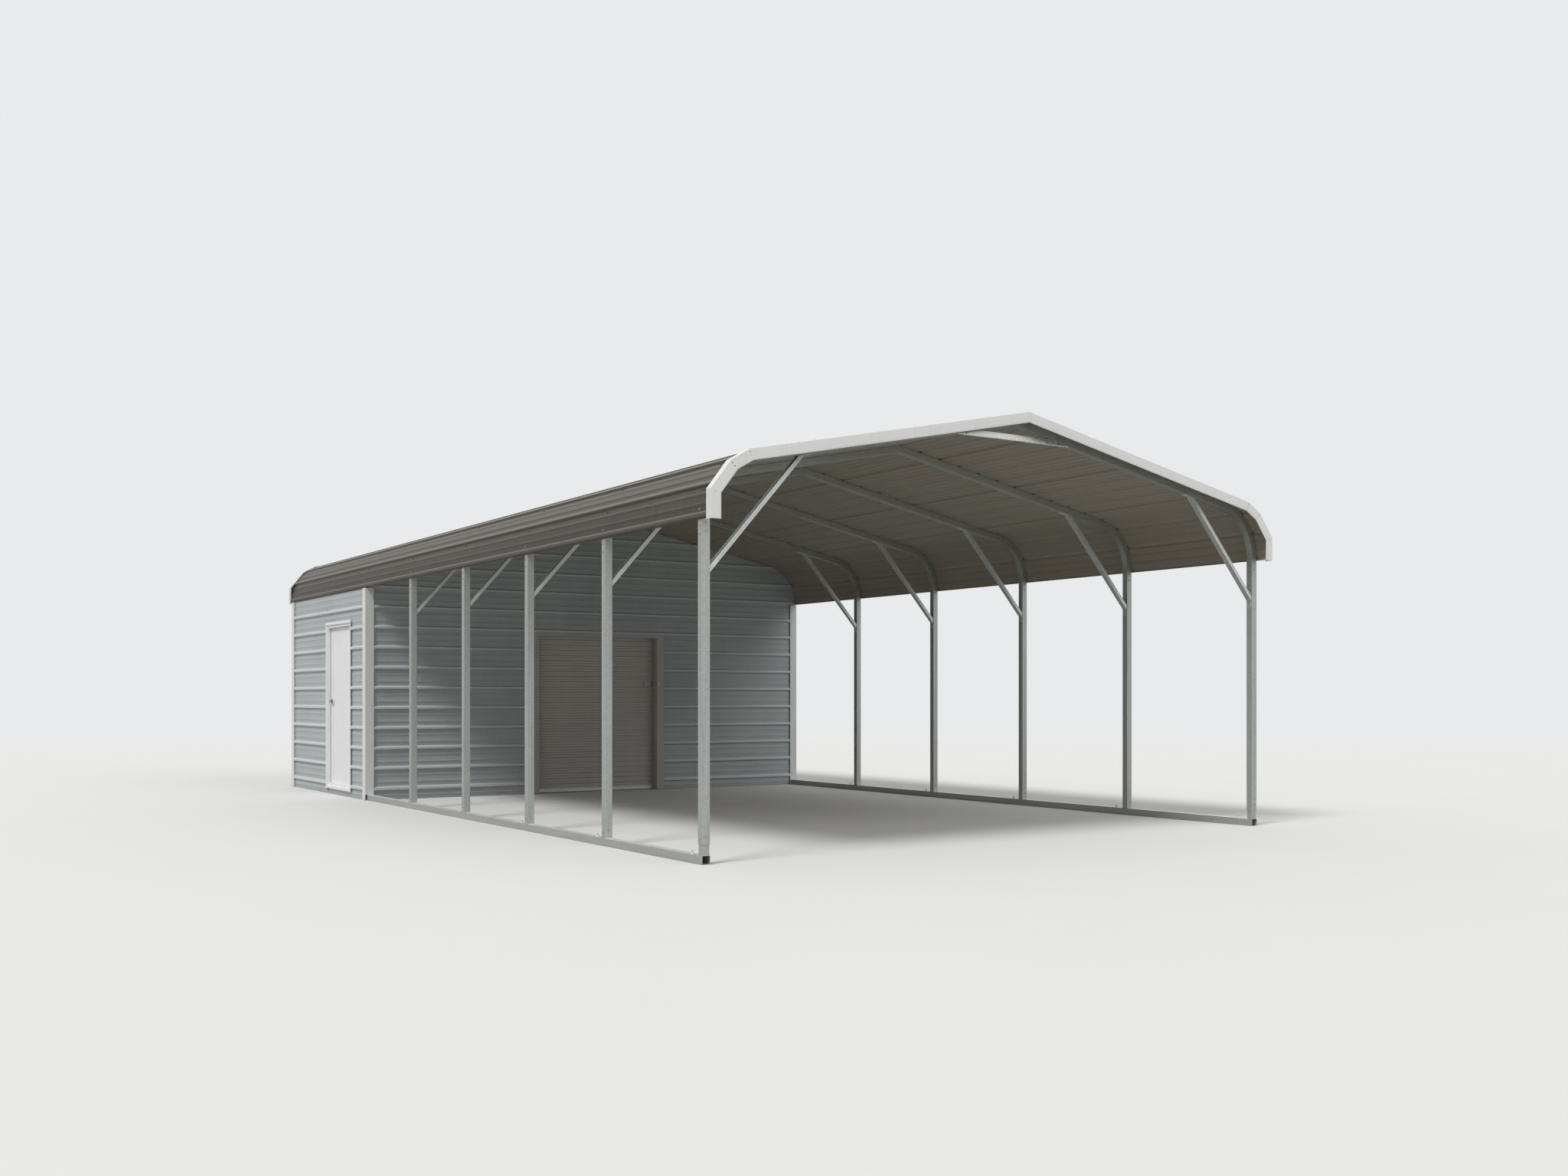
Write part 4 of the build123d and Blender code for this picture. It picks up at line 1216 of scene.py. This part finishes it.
    def screw_places(self):
        """On top of the gable trims, on both sides of the corner trims and on the roll-up door's jambs."""
        sizes = self.sizes
        places = []
        trims = surface("front_trim", "rear_trim")
        count = round(self.slope_reach / sizes.trim_screw_step)
        for y in (low("front_trim").y + self.roof_screw_in, high("rear_trim").y - self.roof_screw_in):
            for step in range(-count, count + 1):
                place, out, _ = roof_point((step + 0.5) * sizes.trim_screw_step, ABOVE_ROOF)
                places += seats(trims, [place + Vector((0, y, 0))], -out)
        corners = surface("front_corner_trims", "rear_corner_trims")
        rows = [self.first_row + row * sizes.trim_screw_step for row in range(self.corner_rows)]
        for side in (-1, 1):
            for y, out in ((low("front_corner_trims").y, -1), (high("rear_corner_trims").y, 1)):
                from_side = [Vector((side * FAR_OUT, y - out * self.side_screw_in, z)) for z in rows]
                from_end = [Vector((side * (sizes.half_width - self.end_screw_in), y + out, z)) for z in rows]
                places += seats(corners, from_side, Vector((-side, 0, 0)))
                places += seats(corners, from_end, Vector((0, -out, 0)))
        jambs = surface("roll_up_jamb_trims")
        edge = high("roll_up_jamb_trims").x - self.jamb_screw_in
        starts = [Vector((side * edge, 0, z)) for side in (-1, 1) for z in rows]
        return places + seats(jambs, starts, Vector((0, 1, 0)))


# Roll-up door

class CARPORT_OT_roll_door(Job):
    """Roll-up door with its curtain, bar, guides, coil and trims"""

    bl_idname = "carport.roll_door"
    bl_label = "Roll-up door"
    latch_height = 1.328

    def execute(self, context):
        for node in ("roll_up_curtain", "roll_up_coil"):
            rounded(node, "carport", "roll_door", enamel("curtain"), 0.8 * MM, wide=1.5 * MM)
        rounded("roll_up_bottom_bar", "carport", "roll_door", brace_zinc(), 0.8 * MM, wide=1.5 * MM)
        for node in ("roll_up_jamb_trims", "roll_up_head_trim"):
            # Painted shade: the jambs' trims use a darker copy of the trim colour
            rounded(node, "carport", "trim_white", enamel("jamb"), 1.2 * MM)
        rounded("roll_up_guides", "carport", "roll_door", zinc("up"), 1 * MM, wide=3 * MM)
        rounded("roll_up_brackets", "carport", "hardware", steel(), 1 * MM)
        self.seal()
        self.latch()
        return {"FINISHED"}

    def seal(self):
        """The soft strip under the bottom bar, down to the ground."""
        lo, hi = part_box("roll_up_bottom_bar")
        shape = bmesh.new()
        middle = (lo + hi) / 2
        middle.z = lo.z / 2 + 0.8 * MM
        strip = (hi.x - lo.x - 4 * MM, 22 * MM, lo.z - 1 * MM)
        plate(shape, strip, 3 * MM, 2 * MM, Matrix.Translation(middle))
        piece("roll_up_seal", shape, "carport", "roll_door", seal("rubber"))

    def latch(self):
        """A slide latch on the curtain, with two guides, bolt and knob, and its keeper on the right jamb."""
        edge = high("roll_up_head_trim").x
        face = low("roll_up_curtain").y - 1.2 * MM
        jamb = low("roll_up_jamb_trims").y - 1.4 * MM
        shape = bmesh.new()
        # Back plate, two guides and the keeper: size, corners, softened edges, place along the door and depth
        for size, corner, edges, x, y in (
            ((128 * MM, 48 * MM, 3 * MM), 6 * MM, 0.6 * MM, -82 * MM, face),
            ((16 * MM, 36 * MM, 16 * MM), 4 * MM, 2 * MM, -125 * MM, face - 8 * MM),
            ((16 * MM, 36 * MM, 16 * MM), 4 * MM, 2 * MM, -45 * MM, face - 8 * MM),
            ((26 * MM, 50 * MM, 3 * MM), 5 * MM, 0.6 * MM, 22 * MM, jamb),
        ):
            plate(shape, size, corner, edges, facing((edge + x, y, self.latch_height), (0, -1, 0)))
        # Bolt and knob: place along the door and off it, axis that each is turned about, two radii and length
        for x, off, axis, lower, upper, depth in (
            (-70 * MM, 9 * MM, "Y", 5.5 * MM, 5.5 * MM, 135 * MM),
            (-85 * MM, 21 * MM, "X", 4.5 * MM, 6.5 * MM, 20 * MM),
        ):
            place = Matrix.Translation((edge + x, face - off, self.latch_height))
            bmesh.ops.create_cone(
                shape, cap_ends=True, segments=16, radius1=lower, radius2=upper, depth=depth,
                matrix=place @ Matrix.Rotation(math.pi / 2, 4, axis),
            )
        piece("roll_up_latch", shape, "carport", "hardware", steel())


# Walk-in door

class CARPORT_OT_walk_in_door(Job):
    """Walk-in door with its frame, hinges and lever"""

    bl_idname = "carport.walk_in_door"
    bl_label = "Walk-in door"
    screw_inset = 9 * MM
    seal_width = 5.2 * MM
    seal_inset = 3.2 * MM
    stop_gap = 4.8 * MM
    latch_gap = 6.5 * MM

    def execute(self, context):
        shape = copy_of("walk_in_frame")
        self.sink_jambs(shape)
        round_edges(shape, 1.2 * MM)
        folded = piece("walk_in_frame_folded", shape, "carport", "trim_white", door_paint())
        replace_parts(folded, "walk_in_frame")
        rounded("walk_in_slab", "walk_in_door", "walk_in_door", door_paint(), 1.6 * MM)
        rounded("hinge_fixed_leaves", "carport", "hardware", steel(), 0.6 * MM, wide=2 * MM)
        rounded("hinge_moving_leaves", "walk_in_door", "hardware", steel(), 0.6 * MM, wide=2 * MM)
        rounded("door_lever", "lever", "hardware", steel(), 4.2 * MM, wide=3 * MM, segments=3)
        for node, body in (("hinge_fixed_leaves", "carport"), ("hinge_moving_leaves", "walk_in_door")):
            leaves = surface(node)
            heads = []
            for foot, top in parts_of(node):
                y = foot.y + self.screw_inset if body == "carport" else top.y - self.screw_inset
                starts = [Vector((0, y, foot.z + share * (top.z - foot.z))) for share in (0.16, 0.5, 0.84)]
                heads += seats(leaves, starts, Vector((-1, 0, 0)))
            scatter(node + "_screws", template(flat_head), heads, "hardware", screw_paint("screw"), body)
        self.seals()
        self.strike()
        return {"FINISHED"}

    def sink_jambs(self, shape):
        """Sets the jambs, head and sill back from the flange that lies on the siding."""
        sizes = self.sizes
        lo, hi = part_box("walk_in_frame")
        rim = sizes.door_flange
        sunk = lo.x + sizes.door_step
        left, right, foot, top = lo.y + rim, hi.y - rim, lo.z + rim, hi.z - rim
        planes = [(Vector((sunk, 0, 0)), Vector((1, 0, 0)))]
        planes += [(Vector((0, y, 0)), Vector((0, 1, 0))) for y in (left, right)]
        planes += [(Vector((0, 0, z)), Vector((0, 0, 1))) for z in (foot, top)]
        for point, across in planes:
            whole = shape.verts[:] + shape.edges[:] + shape.faces[:]
            bmesh.ops.bisect_plane(shape, geom=whole, dist=SNAP, plane_co=point, plane_no=across)
        cut = []
        for face in shape.faces:
            middle = face.calc_center_median()
            if left < middle.y < right and foot < middle.z < top and middle.x < sunk - 0.1 * MM:
                cut.append(face)
        bmesh.ops.delete(shape, geom=cut, context="FACES")
        open_edges = [edge for edge in shape.edges if edge.is_boundary]
        outer = [edge for edge in open_edges if max(vert.co.x for vert in edge.verts) < lo.x + 0.1 * MM]
        inner = [edge for edge in open_edges if edge not in outer]
        grown = bmesh.ops.extrude_edge_only(shape, edges=outer)["geom"]
        back = [item for item in grown if isinstance(item, bmesh.types.BMVert)]
        bmesh.ops.translate(shape, vec=(sunk - lo.x, 0, 0), verts=back)
        ends = [
            item for item in grown if isinstance(item, bmesh.types.BMEdge) and set(item.verts) <= set(back)
        ]
        bmesh.ops.bridge_loops(shape, edges=ends + inner)
        bmesh.ops.recalc_face_normals(shape, faces=shape.faces[:])

    def seals(self):
        """The soft strips that the closed slab presses on, held by the frame's stops."""
        lo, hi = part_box("walk_in_slab")
        x = lo.x - self.stop_gap / 2 - 0.4 * MM
        middle = (lo + hi) / 2
        thick = self.stop_gap - 0.6 * MM
        inset, width = self.seal_inset, self.seal_width
        shape = bmesh.new()
        for size, y, z in (
            ((width, hi.z - lo.z, thick), lo.y + inset, middle.z),
            ((width, hi.z - lo.z, thick), hi.y - inset, middle.z),
            ((hi.y - lo.y - 12 * MM, width, thick), middle.y, lo.z + inset),
            ((hi.y - lo.y - 12 * MM, width, thick), middle.y, hi.z - inset),
        ):
            plate(shape, size, 0.8 * MM, 0.4 * MM, facing((x, y, z), (-1, 0, 0)))
        piece("walk_in_seals", shape, "carport", "trim_white", seal("vinyl"))

    def strike(self):
        """The strike plate on the latch jamb, and the latch bolt with its plate in the slab's edge."""
        lo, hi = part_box("walk_in_slab")
        lever_lo, lever_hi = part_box("door_lever")
        place = Vector(((lo.x + hi.x) / 2, 0, (lever_lo.z + lever_hi.z) / 2))
        # Each plate's size, corners, softened edges, place beyond the slab's edge and the way it looks
        for name, body, parts in (
            ("strike_plate", "carport", (
                ((28 * MM, 70 * MM, 1 * MM), 4 * MM, 0.3 * MM, self.latch_gap, -1),
            )),
            ("latch_bolt", "walk_in_door", (
                ((12 * MM, 20 * MM, 2.2 * MM), 2 * MM, 0.8 * MM, 1 * MM, 1),
                ((24 * MM, 56 * MM, 0.8 * MM), 4 * MM, 0.2 * MM, 0.2 * MM, 1),
            )),
        ):
            shape = bmesh.new()
            for size, corner, edges, off, way in parts:
                place.y = hi.y + off
                plate(shape, size, corner, edges, facing(place, (0, way, 0)))
            piece(name, shape, body, "hardware", steel())


# Stage

# Where the photograph was taken from, as worked out from the carport's own size, and its lens
EYE = (-7.930, -14.221, 1.162)
EYE_TURN = -32.875
LENS = 33.8
LENS_SHIFT = 0.0696
FLOOR_RADIUS = 60
FLOOR_LIGHT = 0.5
FADE_FROM, FADE_TO = 12.0, 42.0
LAMPS = (
    ("key_light", (36, 0, -68), 2.3, 18),
    ("fill_light", (56, 0, 24), 0.7, 40),
)


class CARPORT_OT_stage(Job):
    """Pale floor, soft light, plain backdrop and the camera"""

    bl_idname = "carport.stage"
    bl_label = "Stage"

    def execute(self, context):
        scene = context.scene
        shape = bmesh.new()
        bmesh.ops.create_circle(shape, cap_ends=True, segments=96, radius=FLOOR_RADIUS)
        mesh = bpy.data.meshes.new("studio_floor")
        shape.to_mesh(mesh)
        shape.free()
        floor = bpy.data.objects.new("studio_floor", mesh)
        scene.collection.objects.link(floor)
        mesh.materials.append(finish("studio floor paint", floor_paint))
        self.world(scene)
        for name, turn, strength, angle in LAMPS:
            lamp = bpy.data.lights.new(name, "SUN")
            lamp.energy = strength
            lamp.angle = math.radians(angle)
            hung = bpy.data.objects.new(name, lamp)
            hung.rotation_euler = [math.radians(part) for part in turn]
            scene.collection.objects.link(hung)
        camera = bpy.data.cameras.new("camera")
        camera.sensor_width = 36
        camera.lens = LENS
        camera.shift_y = LENS_SHIFT
        camera.clip_end = 200
        seen = bpy.data.objects.new("camera", camera)
        seen.location = EYE
        seen.rotation_euler = (math.radians(90), 0, math.radians(EYE_TURN))
        scene.collection.objects.link(seen)
        scene.camera = seen
        scene.view_settings.view_transform = "Standard"
        return {"FINISHED"}

    def world(self, scene):
        """Soft light, most of it from above, seen as a plain pale backdrop."""
        scene.world = bpy.data.worlds.new("studio")
        scene.world.use_nodes = True
        tree = scene.world.node_tree
        tree.nodes.clear()
        direction = add(tree, "ShaderNodeTexCoord").outputs["Generated"]
        height = add(tree, "ShaderNodeSeparateXYZ", {0: direction}).outputs[2]
        level = add(tree, "ShaderNodeMapRange", {VALUE: height, TO_MIN: 0.3, TO_MAX: 0.68}).outputs[0]
        light = add(tree, "ShaderNodeBackground", {"Color": opaque(WHITE), "Strength": level}).outputs[0]
        pale = {"Color": opaque(scene.carport_colours.backdrop), "Strength": 1.0}
        backdrop = add(tree, "ShaderNodeBackground", pale).outputs[0]
        mix = add(tree, "ShaderNodeMixShader", {0: in_view(tree), 1: light, 2: backdrop}).outputs[0]
        add(tree, "ShaderNodeOutputWorld", {0: mix})


def in_view(tree):
    """One for what the camera sees, also in a mirror or through glass, and zero for light."""
    rays = add(tree, "ShaderNodeLightPath").outputs
    seen = rays["Is Camera Ray"]
    for other in ("Is Glossy Ray", "Is Transmission Ray"):
        seen = add(tree, "ShaderNodeMath", {0: seen, 1: rays[other]}, operation="MAXIMUM").outputs[0]
    return seen


def floor_paint(tree, shader, colours):
    """Matt pale floor of a photographer's studio that fades into the backdrop far out. The eye sees only
    the carport's soft shadow on it. It throws less light back up than its pale colour would."""
    place = add(tree, "ShaderNodeTexCoord").outputs["Object"]
    far = add(tree, "ShaderNodeVectorMath", {0: place}, operation="LENGTH").outputs["Value"]
    span = {VALUE: far, FROM_MIN: FADE_FROM, FROM_MAX: FADE_TO}
    fade = add(tree, "ShaderNodeMapRange", span, interpolation_type="SMOOTHSTEP").outputs[0]
    mottle = add(tree, "ShaderNodeTexNoise", {"Vector": place, "Scale": 0.7, "Detail": 3.0}).outputs[0]
    mottled = {SHARE: mottle, FIRST: opaque(colours.floor), SECOND: opaque(colours.floor, 0.97)}
    paint = add(tree, "ShaderNodeMix", mottled, data_type="RGBA").outputs[2]
    seen = in_view(tree)
    dimmed = {SHARE: seen, FIRST: opaque(colours.floor, FLOOR_LIGHT), SECOND: paint}
    paint = add(tree, "ShaderNodeMix", dimmed, data_type="RGBA").outputs[2]
    tree.links.new(paint, shader.inputs["Base Color"])
    shader.inputs["Roughness"].default_value = 0.9
    share = add(tree, "ShaderNodeMath", {0: seen, 1: fade}, operation="MULTIPLY").outputs[0]
    glow = add(tree, "ShaderNodeEmission", {"Color": opaque(colours.backdrop), "Strength": 1.0}).outputs[0]
    mix = add(tree, "ShaderNodeMixShader", {0: share, 1: shader.outputs[0], 2: glow}).outputs[0]
    tree.links.new(mix, tree.nodes["Material Output"].inputs[0])


class CARPORT_PT_panel(bpy.types.Panel):
    """Lists the carport's piece groups, sizes and colours"""

    bl_label = "Steel carport"
    bl_idname = "CARPORT_PT_panel"
    bl_space_type = "VIEW_3D"
    bl_region_type = "UI"
    bl_category = "Carport"

    def draw(self, context):
        for operator in OPERATORS:
            self.layout.operator(operator.bl_idname)
        for group in (context.scene.carport_sizes, context.scene.carport_colours):
            for name in group.__annotations__:
                self.layout.prop(group, name)


OPERATORS = (
    CARPORT_OT_frame, CARPORT_OT_frame_fixings, CARPORT_OT_braces, CARPORT_OT_sheets, CARPORT_OT_sheet_screws,
    CARPORT_OT_trims, CARPORT_OT_roll_door, CARPORT_OT_walk_in_door, CARPORT_OT_stage,
)
CLASSES = (CarportSizes, CarportColours, *OPERATORS, CARPORT_PT_panel)


def register():
    for item in CLASSES:
        bpy.utils.register_class(item)
    bpy.types.Scene.carport_sizes = PointerProperty(type=CarportSizes)
    bpy.types.Scene.carport_colours = PointerProperty(type=CarportColours)


def unregister():
    del bpy.types.Scene.carport_colours
    del bpy.types.Scene.carport_sizes
    for item in reversed(CLASSES):
        bpy.utils.unregister_class(item)


def main():
    register()
    bpy.ops.carport.frame()
    bpy.ops.carport.frame_fixings()
    bpy.ops.carport.braces()
    bpy.ops.carport.sheets()
    bpy.ops.carport.sheet_screws()
    bpy.ops.carport.trims()
    bpy.ops.carport.roll_door()
    bpy.ops.carport.walk_in_door()
    bpy.ops.carport.stage()
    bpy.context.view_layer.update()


if __name__ == "__main__":
    main()
